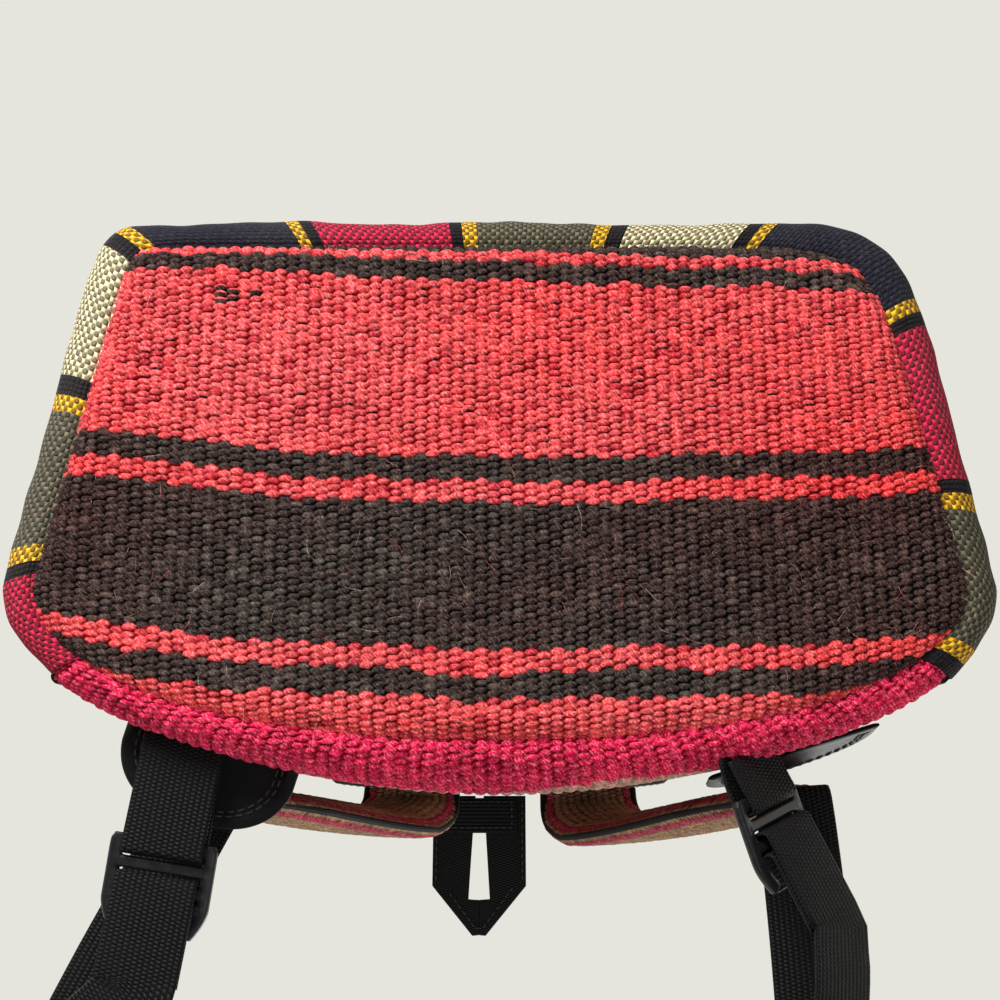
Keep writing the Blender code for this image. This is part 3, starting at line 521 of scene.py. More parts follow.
def rubbedMaterial(name, colour, rough, metallic, scale, bump, wear):  # plastics, metal, foam and board
    material, tree, shader = newMaterial(name)
    fine = grain(tree, scale, 4.0, 0.6)
    shade = mixColour(tree, 1.0, colour, spread(tree, fine, 0.3, 0.7, 0.82, 1.18), "MULTIPLY")
    worn = placeGroup(tree, "clothWear", Color=shade, Amount=wear, Scale=60.0)
    tree.links.new(worn["Color"], shader.inputs["Base Color"])
    dull = spread(tree, grain(tree, scale * 0.4, 3.0), 0.3, 0.7, rough * 0.8, rough * 1.25)
    tree.links.new(dull, shader.inputs["Roughness"])
    shader.inputs["Metallic"].default_value = metallic
    bumpInto(tree, shader, fine, bump)
    return material


looks = {
    "coral_rug": rugMaterial("coralRug", 0.06),
    "magenta_rug": rugMaterial("magentaRug", 0.06),
    "beige_rug": rugMaterial("beigeRug", 0.28),
    "striped_cloth": stripedClothMaterial(),
    "black_webbing": webbingMaterial("blackWebbing", tone(8, 9, 11), 0.007, 0.55),
    "black_binding": plainClothMaterial("blackBinding", tone(20, 20, 23), 0.0011, 0.05, 0.65),
    "black_tab": plainClothMaterial("blackTab", tone(9, 9, 11), 0.0008, 0.012, 0.34, 0.00010),
    "lining_cloth": plainClothMaterial("liningCloth", tone(44, 44, 50), 0.0009, 0.05, 0.7),
    "stiff_board": rubbedMaterial("stiffBoard", tone(64, 58, 52), 0.6, 0.0, 240.0, 0.0002, 0.1),
    "grey_foam": rubbedMaterial("greyFoam", tone(118, 118, 122), 0.95, 0.0, 900.0, 0.0006, 0.05),
    "zip_tape": plainClothMaterial("zipTape", tone(30, 30, 33), 0.0007, 0.06, 0.7),
    "zip_coil": rubbedMaterial("zipCoil", tone(36, 36, 40), 0.4, 0.0, 700.0, 0.0001, 0.06),
    "zip_metal": rubbedMaterial("zipMetal", tone(166, 162, 154), 0.32, 1.0, 500.0, 0.00006, 0.10),
    "stopMetal": rubbedMaterial("stopMetal", tone(58, 57, 56), 0.45, 1.0, 500.0, 0.00006, 0.10),
    "black_plastic": rubbedMaterial("blackPlastic", tone(24, 25, 28), 0.24, 0.0, 900.0, 0.00004, 0.04),
    "thread": rubbedMaterial("stitchThread", tone(40, 40, 44), 0.6, 0.0, 2500.0, 0.0001, 0.05),
}
print("materials ready:", len(looks))


# thick wool rug: every bead of yarn is a bump in the mesh

rugWeave = {
    "column": 0.0047, "row": 0.0028, "acrossSteps": 7, "alongSteps": 6, "relief": 0.0021,
    "jitter": 0.11, "slant": 0.12, "reach": 0.60, "tall": 0.56, "unlike": 0.18,
}
broadWeave = {**rugWeave, "column": 0.0050, "row": 0.0033, "acrossSteps": 5, "alongSteps": 5}
padWeave = {**rugWeave, "acrossSteps": 5, "alongSteps": 4, "relief": 0.0012}


def chance(column, row, salt):
    value = np.sin(column * 127.1 + row * 311.7 + salt * 74.7) * 43758.5453
    return value - np.floor(value)


def rugSheet(name, spanU, spanV, placeOf, tintOf, weave):  # a sheet of beads
    u = np.linspace(*spanU, int((spanU[1] - spanU[0]) / weave["column"] * weave["acrossSteps"]) + 1)
    v = np.linspace(*spanV, int((spanV[1] - spanV[0]) / weave["row"] * weave["alongSteps"]) + 1)
    uGrid, vGrid = np.meshgrid(u, v)
    a = uGrid / weave["column"]
    height = np.full(a.shape, -9.0)
    column, row, lengthways, sideways = (np.zeros(a.shape) for _ in range(4))
    for step in (-1.0, 0.0, 1.0):  # beads of neighbouring columns lock into each other
        c = np.floor(a) + step
        b = vGrid / weave["row"] + 0.5 * (c % 2)
        r = np.floor(b)
        across = a - c - 0.5 + (chance(c, r, 0) - 0.5) * weave["jitter"]
        along = b - r - 0.5 + (chance(c, r, 1) - 0.5) * weave["jitter"] + weave["slant"] * across
        size = 1.0 + (chance(c, r, 2) - 0.5) * weave["unlike"]
        rise = 1.0 - (across / (weave["reach"] * size)) ** 2 - (along / (weave["tall"] * size)) ** 2
        higher = rise > height
        height = np.where(higher, rise, height)
        column = np.where(higher, c, column)
        row = np.where(higher, r, row)
        lengthways = np.where(higher, along, lengthways)
        sideways = np.where(higher, across, sideways)
    luck = [chance(column, row, salt) for salt in range(5)]
    height = np.sqrt(np.clip(height, 0.0, 1.0))
    height = np.clip(height * (0.80 + 0.36 * luck[3]), 0.0, 1.1)
    uMid = (column + 0.5) * weave["column"]
    vMid = (row + 0.5 - 0.5 * (column % 2)) * weave["row"]
    tint = tintOf(uMid, vMid, luck + [lengthways, column, sideways])  # chances, then places in the bead
    points, normals, keep = placeOf(uGrid, vGrid)
    points = points + normals * (weave["relief"] * (height - 1.0))[..., None]
    faces = gridFaces(len(v), len(u))
    faces = faces[keep.ravel()[faces].all(axis=1)]
    used = np.unique(faces)
    renumber = np.zeros(uGrid.size, int)
    renumber[used] = np.arange(len(used))
    thing = meshPiece(name, points.reshape(-1, 3)[used], renumber[faces])
    colours = np.ones((len(used), 4), np.float32)
    colours[:, :3] = tint.reshape(-1, 3)[used]
    giveBeads(thing, colours, height.ravel()[used])
    return thing


def yarnTints(choices, which, luck, shake, fade=0.0):  # picks a colour for each bead and varies it; fade above 0 pales green and blue, below 0 deepens them
    palette = np.array([c[:3] for c in choices])
    colour = palette[which]
    bright = 1.0 + (luck[4] - 0.5) * 2.0 * shake
    warm = (luck[2] - 0.5) * 0.10
    paler = 1.0 + fade
    change = np.stack([bright + warm, bright * paler, (bright - warm) * paler], axis=-1)
    return np.clip(colour * change, 0.0, 1.0)


def banded(which, along, bands):  # bands of (low, high, colour number)
    for low, high, colour in bands:
        which = np.where((along > low) & (along < high), colour, which)
    return which


def nearestEdge(ring, x, y):  # distance inside a closed outline, and the way inwards
    ahead = np.roll(ring, -1, axis=0) - ring
    length = np.hypot(ahead[:, 0], ahead[:, 1])
    inside = np.empty(x.size)
    inward = np.empty((x.size, 2))
    flat = np.stack([x.ravel(), y.ravel()], axis=1)
    batch = 20000
    for start in range(0, x.size, batch):
        part = flat[start:start + batch]
        offset = part[:, None, :] - ring[None]
        t = np.clip((offset * ahead[None]).sum(-1) / length[None] ** 2, 0.0, 1.0)
        gap = offset - t[..., None] * ahead[None]
        best = np.argmin((gap**2).sum(-1), axis=1)
        rows = np.arange(len(part))
        side = ahead[best] / length[best][:, None]
        normal = np.stack([-side[:, 1], side[:, 0]], axis=1)
        inside[start:start + batch] = (gap[rows, best] * normal).sum(-1)
        inward[start:start + batch] = normal
    return inside.reshape(x.shape), inward.reshape(*x.shape, 2)


def foldedSheet(ring, x, y, radius, skirt, extra):  # flat sheet whose rim folds over a round edge
    inside, inward = nearestEdge(ring, x, y)
    turn = math.pi / 2 * radius
    theta = np.clip((skirt + turn - inside) / radius, 0.0, math.pi / 2)
    depth = np.where(inside > skirt + turn, inside - extra, radius - radius * np.sin(theta))
    shift = depth + extra - inside
    drop = radius * (1.0 - np.cos(theta)) + np.clip(skirt - inside, 0.0, None)
    placed = np.stack([x + inward[..., 0] * shift, y + inward[..., 1] * shift], axis=-1)
    return placed, drop, theta, inward, inside


baseRugLook = {
    "radius": 0.0100, "flatten": 0.82, "grow": 0.0014, "half": 0.17, "frontBand": -0.1042, "rim": 0.0004,
    "coral": tone(232, 76, 80), "dark": tone(58, 44, 40),
    "deepCoral": tone(204, 50, 62), "greyBrown": tone(80, 65, 59),
    "darkBands": [(-0.0985, -0.0905), (-0.0174, -0.0079), (0.0008, 0.0568), (0.0657, 0.0757)],
    "fleckPlace": (-0.107, -0.0850), "fleckSize": (0.013, 0.0048),
}


def baseBow(x, w):  # the stripes hang lower in the middle
    lower = np.clip((w + 0.105) / 0.085, 0.0, 1.0)
    sag = -np.where(x < 0.0, 0.013, 0.0045) * (x / baseRugLook["half"]) ** 2
    return 0.041 * x * (1.0 - lower) + sag * lower


def makeBaseRug():
    radius = baseRugLook["radius"]
    extra = (math.pi / 2 - 1.0) * radius
    ring = outlineRun(-90.0, 270.0, 0.0, extra + baseRugLook["grow"], 420)[:-1]

    def placeOf(x, w):
        y = w + baseBow(x, w) + 0.0006 * np.sin(x * 61.0 + w * 23.0) + 0.0003 * np.sin(x * 143.0 - w * 41.0)
        placed, drop, theta, inward, inside = foldedSheet(ring, x, y, radius, 0.0, extra)
        sway = 0.0009 * (1.0 + np.sin(placed[..., 0] * 41.0 + 1.0) * np.sin(placed[..., 1] * 53.0))
        z = drop * baseRugLook["flatten"] + sway * np.clip(inside / 0.03, 0.0, 1.0)
        points = np.concatenate([placed, z[..., None]], axis=-1)
        normals = np.concatenate([-inward * np.sin(theta)[..., None], -np.cos(theta)[..., None]], axis=-1)
        return points, normals, inside > baseRugLook["rim"]

    def tintOf(x, w, luck):
        edge = w + (chance(luck[6], 3.0, 11) - 0.5) * 0.0011
        dark = edge < baseRugLook["frontBand"]
        for low, high in baseRugLook["darkBands"]:
            dark |= (edge > low) & (edge < high)
        y = w + baseBow(x, w)
        fleckX, fleckY = baseRugLook["fleckPlace"]
        fleckWide, fleckTall = baseRugLook["fleckSize"]
        marks = (np.hypot((x - fleckX) / fleckWide, (y - fleckY) / fleckTall) < 1.0) & (luck[3] > 0.40)
        peeps = (luck[0] > 0.92) & (luck[5] > 0.34) & (np.abs(luck[7]) < 0.27)  # dark yarn in the gaps
        # painted shade: green and blue drop towards the sides of the base, more on the right, as if the light
        # fell off there; the cloud term is uneven tone
        shadeAcross = x / baseRugLook["half"]
        cloud = np.sin(x * 23.0 + 2.1 + 1.5 * np.sin(w * 31.0)) * np.sin(w * 37.0 + 0.9 + np.sin(x * 19.0))
        fade = 0.22 * cloud - 0.26 * shadeAcross**2 - 0.10 * shadeAcross
        which = dark.astype(int)
        which = np.where(~dark & (luck[3] < 0.10), 2, which)
        which = np.where((marks & (luck[5] > -0.1)) | peeps, 1, which)
        which = np.where(dark & (luck[3] < 0.18), 3, which)
        choices = [baseRugLook[tag] for tag in ("coral", "dark", "deepCoral", "greyBrown")]
        return yarnTints(choices, which, luck, 0.14, fade)

    thing = rugSheet("baseRug", (-0.186, 0.186), (-0.128, 0.122), placeOf, tintOf, rugWeave)
    return dress(thing, "bag", "coral_rug", ["base_panel"])


class Surface:  # a table of points over the cloth, read at any place between them
    def __init__(self, points, vMarks):
        self.points = points
        self.vMarks = vMarks
        alongU = np.gradient(points, axis=1)
        alongV = np.gradient(points, axis=0)
        normals = np.cross(alongU, alongV)
        self.normals = normals / np.linalg.norm(normals, axis=-1, keepdims=True)
        self.outward = np.sign((self.normals * (points - np.array([0.0, 0.0, 0.2]))).sum(-1).mean())

    def read(self, table, share, v):
        i = np.clip(share, 0.0, 1.0) * (table.shape[1] - 1)
        k = np.interp(v, self.vMarks, np.arange(len(self.vMarks)))
        i0 = np.minimum(i.astype(int), table.shape[1] - 2)
        k0 = np.minimum(k.astype(int), table.shape[0] - 2)
        di = (i - i0)[..., None]
        dk = (k - k0)[..., None]
        low = table[k0, i0] * (1 - di) + table[k0, i0 + 1] * di
        high = table[k0 + 1, i0] * (1 - di) + table[k0 + 1, i0 + 1] * di
        return low * (1 - dk) + high * dk


backRugLook = {
    "magenta": tone(226, 30, 82), "beige": tone(204, 150, 132),
    "dark": tone(62, 48, 45), "pink": tone(206, 70, 100),
    "magentaHeight": 0.052, "patchHeight": 0.0205, "patchX": 0.050, "patchSlope": 0.26,
    "bands": [  # low, high and colour number: magenta, beige, dark, pink
        (0.100, 0.106, 3), (0.118, 0.140, 2), (0.152, 0.158, 3), (0.228, 0.240, 0),
        (0.246, 0.250, 2), (0.330, 0.352, 2), (0.362, 0.372, 3),
    ],
}


def makeBackRug():
    angle = bag["seamAngle"]
    rows = []
    for z, out in bodyLevels(bag["backTop"], 10, 60):
        rows.append(atHeight(outlineRun(180.0 - angle, angle, z, out, 120, seamTrim(z, out)), z))
    points = np.array(rows)
    marks = pathMarks(points[:, 60])
    surface = Surface(points, marks - marks[len(tuck)])
    width = pathLength(points[11])

    def placeOf(u, v):
        share = u / width + 0.5
        normals = surface.read(surface.normals * surface.outward, share, v)
        return surface.read(surface.points, share, v), normals, np.ones(u.shape, bool)

    def tintOf(u, v, luck):
        edge = backRugLook["patchHeight"] + backRugLook["patchSlope"] * np.abs(u - backRugLook["patchX"])
        edge = np.minimum(edge, backRugLook["magentaHeight"]) + (luck[1] - 0.5) * 0.003
        which = banded(np.where(v < edge, 0, 1), v, backRugLook["bands"])
        choices = [backRugLook[tag] for tag in ("magenta", "beige", "dark", "pink")]
        return yarnTints(choices, which, luck, 0.18)

    spanV = (surface.vMarks[0], surface.vMarks[-1])
    thing = rugSheet("backRug", (-width / 2, width / 2), spanV, placeOf, tintOf, broadWeave)
    return dress(thing, "bag", "magenta_rug", ["back_panel"])


lidRugLook = {
    "radius": 0.014, "skirt": 0.0100, "crown": 0.0060, "crownOver": 0.035, "tuckIn": 0.0003, "rim": 0.0004,
    "beige": tone(182, 142, 108), "pink": tone(202, 62, 92), "dark": tone(64, 50, 46),
    "bands": [  # low, high and colour number: beige, pink, dark
        (-0.085, -0.074, 1), (-0.066, -0.062, 2), (-0.010, 0.012, 2), (0.020, 0.026, 1), (0.066, 0.074, 1),
    ],
}


def makeLidRug():
    radius = lidRugLook["radius"]
    skirt = lidRugLook["skirt"]
    extra = (math.pi / 2 - 1.0) * radius + skirt
    ring = outlineRun(-90.0, 270.0, bag["rimHeight"], bag["rimOut"] - lidRugLook["tuckIn"] + extra, 420)[:-1]
    top = bag["lidBase"] + skirt + radius

    def placeOf(x, y):
        placed, drop, theta, inward, inside = foldedSheet(ring, x, y, radius, skirt, extra)
        deep = np.clip(inside - extra - radius, 0.0, None)
        z = top - drop + lidRugLook["crown"] * (1.0 - np.exp(-deep / lidRugLook["crownOver"]))
        points = np.concatenate([placed, z[..., None]], axis=-1)
        normals = np.concatenate([-inward * np.sin(theta)[..., None], np.cos(theta)[..., None]], axis=-1)
        return points, normals, inside > lidRugLook["rim"]

    def tintOf(x, y, luck):
        which = banded(np.zeros(x.shape, int), y, lidRugLook["bands"])
        return yarnTints([lidRugLook[tag] for tag in ("beige", "pink", "dark")], which, luck, 0.18)

    thing = rugSheet("lidRug", (-0.205, 0.205), (-0.140, 0.118), placeOf, tintOf, broadWeave)
    return dress(thing, "lid", "beige_rug", ["lid_panel"])


baseRug = makeBaseRug()
backRug = makeBackRug()
lidRug = makeLidRug()
print("rug panels:", [len(rug.data.polygons) for rug in (baseRug, backRug, lidRug)], "faces")


# striped cloth round the front and sides

wrapShape = {
    "columns": 360, "wrinkle": 0.0014, "pucker": 0.00022, "puckerHeight": (0.016, 0.014),
    "sway": 0.0011, "swayHeight": (0.026, 0.022), "thickness": 0.0022,
}


def ripple(x, y, z):
    value = np.sin(x * 31.0 + z * 17.0 + 0.6) * np.sin(y * 37.0 - z * 23.0 + 1.9)
    value += 0.6 * np.sin(x * 67.0 - z * 41.0 + 2.2) * np.sin(y * 71.0 + z * 29.0)
    return value


def hump(value, middle, wide):
    return np.exp(-((value - middle) / wide) ** 2)


def makeWrapCloth():
    levels = bodyLevels(bag["rimHeight"], 16, 90)
    angle = bag["seamAngle"]
    rows = []
    for z, out in levels:
        run = outlineRun(180.0 - angle, 360.0 + angle, z, out, wrapShape["columns"], seamTrim(z, out))
        rows.append(atHeight(run, z))
    points = np.array(rows)
    middle = np.argmin(np.abs(points[20, :, 0]) + (points[20, :, 1] > 0))
    vMarks = pathMarks(points[:, middle])
    vMarks = vMarks - vMarks[len(tuck)]
    surface = Surface(points, vMarks)
    near = np.argmin(np.abs(np.array([z for z, out in levels]) - 0.02) + (np.arange(len(levels)) < len(tuck)))
    uMarks = pathMarks(points[near])
    uMarks -= uMarks[middle]
    half = wrapLook["frontHalf"]
    sideU = np.sign(uMarks) * (half + (np.abs(uMarks) - half) * wrapLook["sideStretch"])
    clothU = np.where(np.abs(uMarks) < half, uMarks, sideU)
    uGrid, vGrid = np.meshgrid(uMarks, vMarks)
    free = np.clip(vGrid / 0.05, 0.0, 1.0) * np.clip((vMarks[-1] - vGrid) / 0.04, 0.0, 1.0)
    lift = wrapShape["wrinkle"] * ripple(points[..., 0], points[..., 1], points[..., 2]) * free
    pucker = np.sin(uGrid * 200.0 + 1.7 * np.sin(uGrid * 23.0))
    pucker = pucker + 0.6 * np.sin(uGrid * 363.0 + 2.1 * np.sin(uGrid * 37.0))
    lift += wrapShape["pucker"] * pucker * hump(vGrid, *wrapShape["puckerHeight"])
    sway = np.sin(uGrid * 44.0 + 2.3 * np.sin(uGrid * 13.0 + 0.8))
    lift += wrapShape["sway"] * sway * hump(vGrid, *wrapShape["swayHeight"])
    points = points + surface.normals * (surface.outward * lift)[..., None]
    thing = meshPiece("wrapCloth", points, gridFaces(len(levels), wrapShape["columns"] + 1))
    giveUv(thing, "clothPlace", np.tile(clothU, len(levels)), vGrid.ravel())
    if surface.outward < 0:
        thing.data.flip_normals()
    thicken(thing, "clothThickness", wrapShape["thickness"], -1.0)
    return dress(thing, "bag", "striped_cloth", ["wrap_panel"])


makeWrapCloth()
print("striped cloth done")


# black edging, lining and foam

def sweep(name, places, radius, sides):  # round tube along places, with its own uv
    places = np.asarray(places, float)
    way = np.gradient(places, axis=0)
    way /= np.linalg.norm(way, axis=1, keepdims=True)
    side = np.cross(way, [0.0, 0.0, 1.0])
    flat = np.linalg.norm(side, axis=1) < 0.2
    side[flat] = np.cross(way[flat], [0.0, 1.0, 0.0])
    for i in range(1, len(side)):
        if np.dot(side[i], side[i - 1]) < 0:
            side[i] *= -1
    side /= np.linalg.norm(side, axis=1, keepdims=True)
    up = np.cross(side, way)
    angles = np.linspace(0.0, 2 * math.pi, sides, endpoint=False)
    sideways = np.cos(angles)[None, :, None] * side[:, None]
    upwards = np.sin(angles)[None, :, None] * up[:, None]
    rings = places[:, None] + radius * (sideways + upwards)
    count = len(places)
    points = np.concatenate([rings.reshape(-1, 3), places[:1], places[-1:]])
    faces = gridFaces(count, sides, True).tolist()
    for k in range(sides):
        faces.append([(k + 1) % sides, k, count * sides])
        last = (count - 1) * sides
        faces.append([last + k, last + (k + 1) % sides, count * sides + 1])
    thing = meshPiece(name, points, faces)
    outwards(thing)
    marks = pathMarks(places)
    us = np.concatenate([np.tile(angles * radius, count), [0.0, 0.0]])
    vs = np.concatenate([np.repeat(marks, sides), [0.0, marks[-1]]])
    giveUv(thing, "clothPlace", us, vs)
    return thing


def evenRow(row, count):  # the same line with evenly spaced points
    marks = pathMarks(row)
    want = np.linspace(0.0, marks[-1], count + 1)
    return np.stack([np.interp(want, marks, row[:, k]) for k in range(3)], axis=1)


def evenPath(places, step):
    places = np.asarray(places, float)
    return evenRow(places, max(int(pathMarks(places)[-1] / step), 2))


bindingShape = {"radius": 0.0026, "sink": 0.85, "rise": 0.0006, "inset": 0.003, "step": 0.003}


def makeBinding():
    radius = bindingShape["radius"]
    angle = bag["seamAngle"]
    side = []
    for z in [rollHeight(math.radians(a)) for a in (52, 60, 68, 78)] + bodyHeights(0.4, 1, 40)[1:]:
        lean = (bodyOut(z + 0.0005) - bodyOut(z - 0.0005)) / 0.001
        inwards = radius * bindingShape["sink"] / math.hypot(1.0, lean)
        x, y = outlineRun(angle, angle + 0.01, z, bodyOut(z) - inwards, 1)[0]
        side.append((x, y, z + inwards * lean))
    top = bag["backTop"] + radius + bindingShape["rise"]
    rimOut = bag["rimOut"] - bindingShape["inset"]
    across = outlineRun(angle, 180.0 - angle, bag["rimHeight"], rimOut, 40, radius)
    across = [(x, y, top) for x, y in across]
    upright = (side[-1][0], side[-1][1], top - radius)
    corner = (mixed(upright[0], across[0][0], 0.3), mixed(upright[1], across[0][1], 0.3), top - radius * 0.3)
    right = side + [upright, corner]
    left = [(-x, y, z) for x, y, z in reversed(right)]
    thing = sweep("backBinding", evenPath(right + across + left, bindingShape["step"]), radius, 12)
    return dress(thing, "bag", "black_binding", ["back_binding"])


def skin(name, rings, close=True):  # closed rings joined to a skin
    rows, columns = rings.shape[:2]
    faces = gridFaces(rows, columns, True).tolist()
    if close:
        faces.append(list(range(columns))[::-1])
        faces.append([(rows - 1) * columns + k for k in range(columns)])
    thing = meshPiece(name, rings, faces)
    outwards(thing)
    return thing


def loftPiece(name, rings, close=True):  # skin with a uv round and along
    rings = np.asarray(rings, float)
    rows, columns = rings.shape[:2]
    thing = skin(name, rings, close)
    us = np.tile(pathMarks(rings[rows // 2]), rows)
    giveUv(thing, "clothPlace", us, np.repeat(pathMarks(rings[:, 0]), columns))
    return thing


def clothSheet(name, rows, us=None):  # open sheet through rows of points, with its uv
    points = np.array(rows)
    thing = meshPiece(name, points, gridFaces(*points.shape[:2]))
    us = pathMarks(points[0]) if us is None else us
    giveUv(thing, "clothPlace", np.tile(us, len(points)), points[..., 2].ravel())
    return thing


liningShape = {
    "inset": 0.0085, "backInset": 0.0105, "boardInset": 0.014, "low": 0.0122, "thick": 0.0012,
    "rimGap": 0.006, "sag": 0.0012, "sagLow": 0.05, "sagHigh": 0.37, "sagOver": 0.05,
}


def makeLining():
    outer = [(liningShape["low"], -liningShape["boardInset"]), (rollTop * 0.7, -liningShape["inset"] * 0.4)]
    for i in range(25):
        z = mixed(rollTop, bag["rimHeight"] - liningShape["rimGap"], i / 24)
        outer.append((z, bodyOut(z) - liningShape["inset"]))
    thick = liningShape["thick"]
    inner = [(z, out - thick) for z, out in reversed(outer[1:])]
    inner.append((liningShape["low"] + thick, -liningShape["boardInset"] - thick))
    rings = []
    for z, out in outer + inner:
        rings.append(atHeight(outlineRun(-90.0, 270.0, z, out, 160, 0.0, liningShape["backInset"])[:-1], z))
    rings = np.array(rings)
    z = rings[..., 2]
    sag = liningShape["sag"] * ripple(rings[..., 0], rings[..., 1], z)
    pull = rings[..., :2] / np.linalg.norm(rings[..., :2], axis=-1, keepdims=True)
    share = np.clip((z - liningShape["sagLow"]) / liningShape["sagOver"], 0.0, 1.0)
    share = share * np.clip((liningShape["sagHigh"] - z) / liningShape["sagOver"], 0.0, 1.0)
    rings[..., :2] -= pull * ((np.abs(sag) + 0.0004) * share)[..., None]
    return dress(loftPiece("lining", rings), "bag", "lining_cloth", ["lining"])


lidLiningShape = {
    "inset": 0.0075, "low": 0.001, "top": 0.0095,
    "rings": [  # share of the height and of the width
        (0.0, 1.0), (0.25, 0.995), (0.6, 0.97), (0.85, 0.90),
        (0.95, 0.75), (1.0, 0.45), (1.0, 0.12), (1.0, 0.002),
    ],
}


def makeLidLining():  # dark cloth under the lid
    rings = []
    out = bag["rimOut"] - lidLiningShape["inset"]
    low = bag["lidBase"] + lidLiningShape["low"]
    top = bag["lidTop"] - lidLiningShape["top"]
    for share, scale in lidLiningShape["rings"]:
        run = outlineRun(-90.0, 270.0, bag["rimHeight"], out, 160)[:-1] * scale
        rings.append(atHeight(run, mixed(low, top, share)))
    return dress(loftPiece("lidLining", rings, False), "lid", "lining_cloth")


foldShape = {
    "inset": 0.0062, "liningInset": 0.0205, "over": 0.012, "lap": 4.0, "low": 0.390, "top": 0.4330,
    "bendLow": 0.4205, "bendHigh": 0.4255, "start": 0.4221, "end": 0.4242,
}


def makeLidFold():  # cloth sewn to the back and to the lid, where the lid folds
    angle = bag["seamAngle"]
    lap = foldShape["lap"]
    heights = [mixed(foldShape["low"], foldShape["bendLow"], i / 14) for i in range(14)]
    heights += [mixed(foldShape["bendLow"], foldShape["bendHigh"], i / 24) for i in range(24)]
    heights += [mixed(foldShape["bendHigh"], foldShape["top"], i / 4) for i in range(5)]
    rows = []
    for z in heights:
        share = min((z - foldShape["low"]) / foldShape["over"], 1.0)
        out = bodyOut(z) - mixed(foldShape["liningInset"], foldShape["inset"], share)
        run = outlineRun(angle - lap, 180.0 + lap - angle, min(z, bag["rimHeight"]), out, 160)
        rows.append(atHeight(run, z))
    thing = clothSheet("lidFold", rows)
    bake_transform(thing)
    return dress(thing, "", "lining_cloth", ride=False)


facingShape = {"low": 0.390, "top": 0.4022, "inset": 0.0076, "thick": 0.0006, "lap": 2.0}


def makeFacing():  # lining cloth turned up to the zip
    angle = bag["seamAngle"]
    lap = facingShape["lap"]
    rows = []
    for i in range(7):
        z = mixed(facingShape["low"], facingShape["top"], i / 6)
        out = bodyOut(z) - facingShape["inset"]
        run = outlineRun(180.0 - lap - angle, 360.0 + lap + angle, min(z, bag["rimHeight"]), out, 240)
        rows.append(atHeight(run, z))
    thing = clothSheet("liningFacing", rows)
    thicken(thing, "clothThickness", facingShape["thick"], 0.0)
    return dress(thing, "bag", "lining_cloth")


foamShape = {"low": 0.045, "high": 0.376, "half": 0.118, "off": -0.0073, "thick": 0.0068}


def makeFoam():
    rows = []
    for i in range(41):
        z = mixed(foamShape["low"], foamShape["high"], i / 40)
        across = np.linspace(foamShape["half"], -foamShape["half"], 41)
        rows.append([(x, backY(x, z, foamShape["off"]), z) for x in across])
    thing = meshPiece("backFoam", np.array(rows), gridFaces(41, 41))
    thicken(thing, "foamThickness", foamShape["thick"], -1.0)
    return dress(thing, "bag", "grey_foam", ["back_foam"])


makeBinding()
makeLining()
makeLidLining()
makeLidFold()
makeFacing()
makeFoam()
print("edging, lining and foam done")


# zip: woven tapes, a row of teeth on each, metal sliders

zipShape = {
    "out": -0.006, "trim": 0.0105, "tape": 0.0075, "tapeThick": 0.0011, "low": 0.4003, "lidTape": 0.4158,
    "pitch": 0.0016, "coil": 0.4096, "lidCoil": 0.4140,
    "toothLong": 0.00092, "toothDeep": 0.00135, "toothTall": 0.0014,
    "endLength": 0.045, "endThick": 0.0008, "endTrim": 0.0004,
}


def zipRun(count, inset=0.0, trim=zipShape["trim"]):
    angle = bag["seamAngle"]
    return outlineRun(180.0 - angle, 360.0 + angle, bag["rimHeight"], zipShape["out"] - inset, count, trim)


def wayAlong(run):
    way = np.gradient(run, axis=0)
    return way / np.linalg.norm(way, axis=1, keepdims=True)


def makeTape(name, bottom, body, node):
    run = zipRun(320)
    way = wayAlong(run)
    side = np.stack([way[:, 1], -way[:, 0]], axis=1)
    shares = (0.0, 0.25, 0.5, 0.75, 1.0)
    levels = [(-1, share) for share in shares] + [(1, share) for share in reversed(shares)]
    rings = []
    for i in range(len(run)):
        ring = []
        for face, share in levels:
            x, y = run[i] + side[i] * (face * zipShape["tapeThick"] / 2)
            ring.append((x, y, bottom + zipShape["tape"] * share))
        rings.append(ring)
    return dress(loftPiece(name, rings), body, "zip_tape", [node])


def makeTeeth(name, middle, hook, body, node):
    count = int(pathLength(zipRun(400)) / zipShape["pitch"])
    run = zipRun(count)
    way = wayAlong(run)
    points = []
    faces = []
    shape = [(-0.55, -0.9), (0.55, -0.9), (0.62, 0.2), (0.40, 0.85), (-0.40, 0.85), (-0.62, 0.2)]
    six = len(shape)
    for i in range(count):
        ahead = np.array([*way[i], 0.0])
        side = np.array([way[i][1], -way[i][0], 0.0])
        centre = np.array([*run[i], middle])
        first = len(points)
        for depth in (-zipShape["toothDeep"], zipShape["toothDeep"]):
            for a, b in shape:
                up = np.array([0.0, 0.0, hook * b * zipShape["toothTall"]])
                points.append(centre + ahead * (a * zipShape["toothLong"]) + side * depth + up)
        faces.append([first + k for k in range(six)][::-1])
        faces.append([first + six + k for k in range(six)])
        for k in range(six):
            faces.append([first + k, first + (k + 1) % six, first + six + (k + 1) % six, first + six + k])
    thing = meshPiece(name, points, faces)
    outwards(thing)
    thing.data.shade_flat()
    return dress(thing, body, "zip_coil", [node])


def makeZipEnds(name, bottom, top, inset, body):  # cloth that closes the gap behind the last teeth
    run = zipRun(600, inset, zipShape["endTrim"])
    marks = pathMarks(run)
    length = zipShape["endLength"]
    for side, pick in (("left", marks < length), ("right", marks > marks[-1] - length)):
        rows = [[(x, y, mixed(bottom, top, i / 6)) for x, y in run[pick]] for i in range(7)]
        thing = clothSheet(side + name, rows, marks[pick])
        thicken(thing, "clothThickness", zipShape["endThick"], 0.0)
        dress(thing, body, "zip_tape")


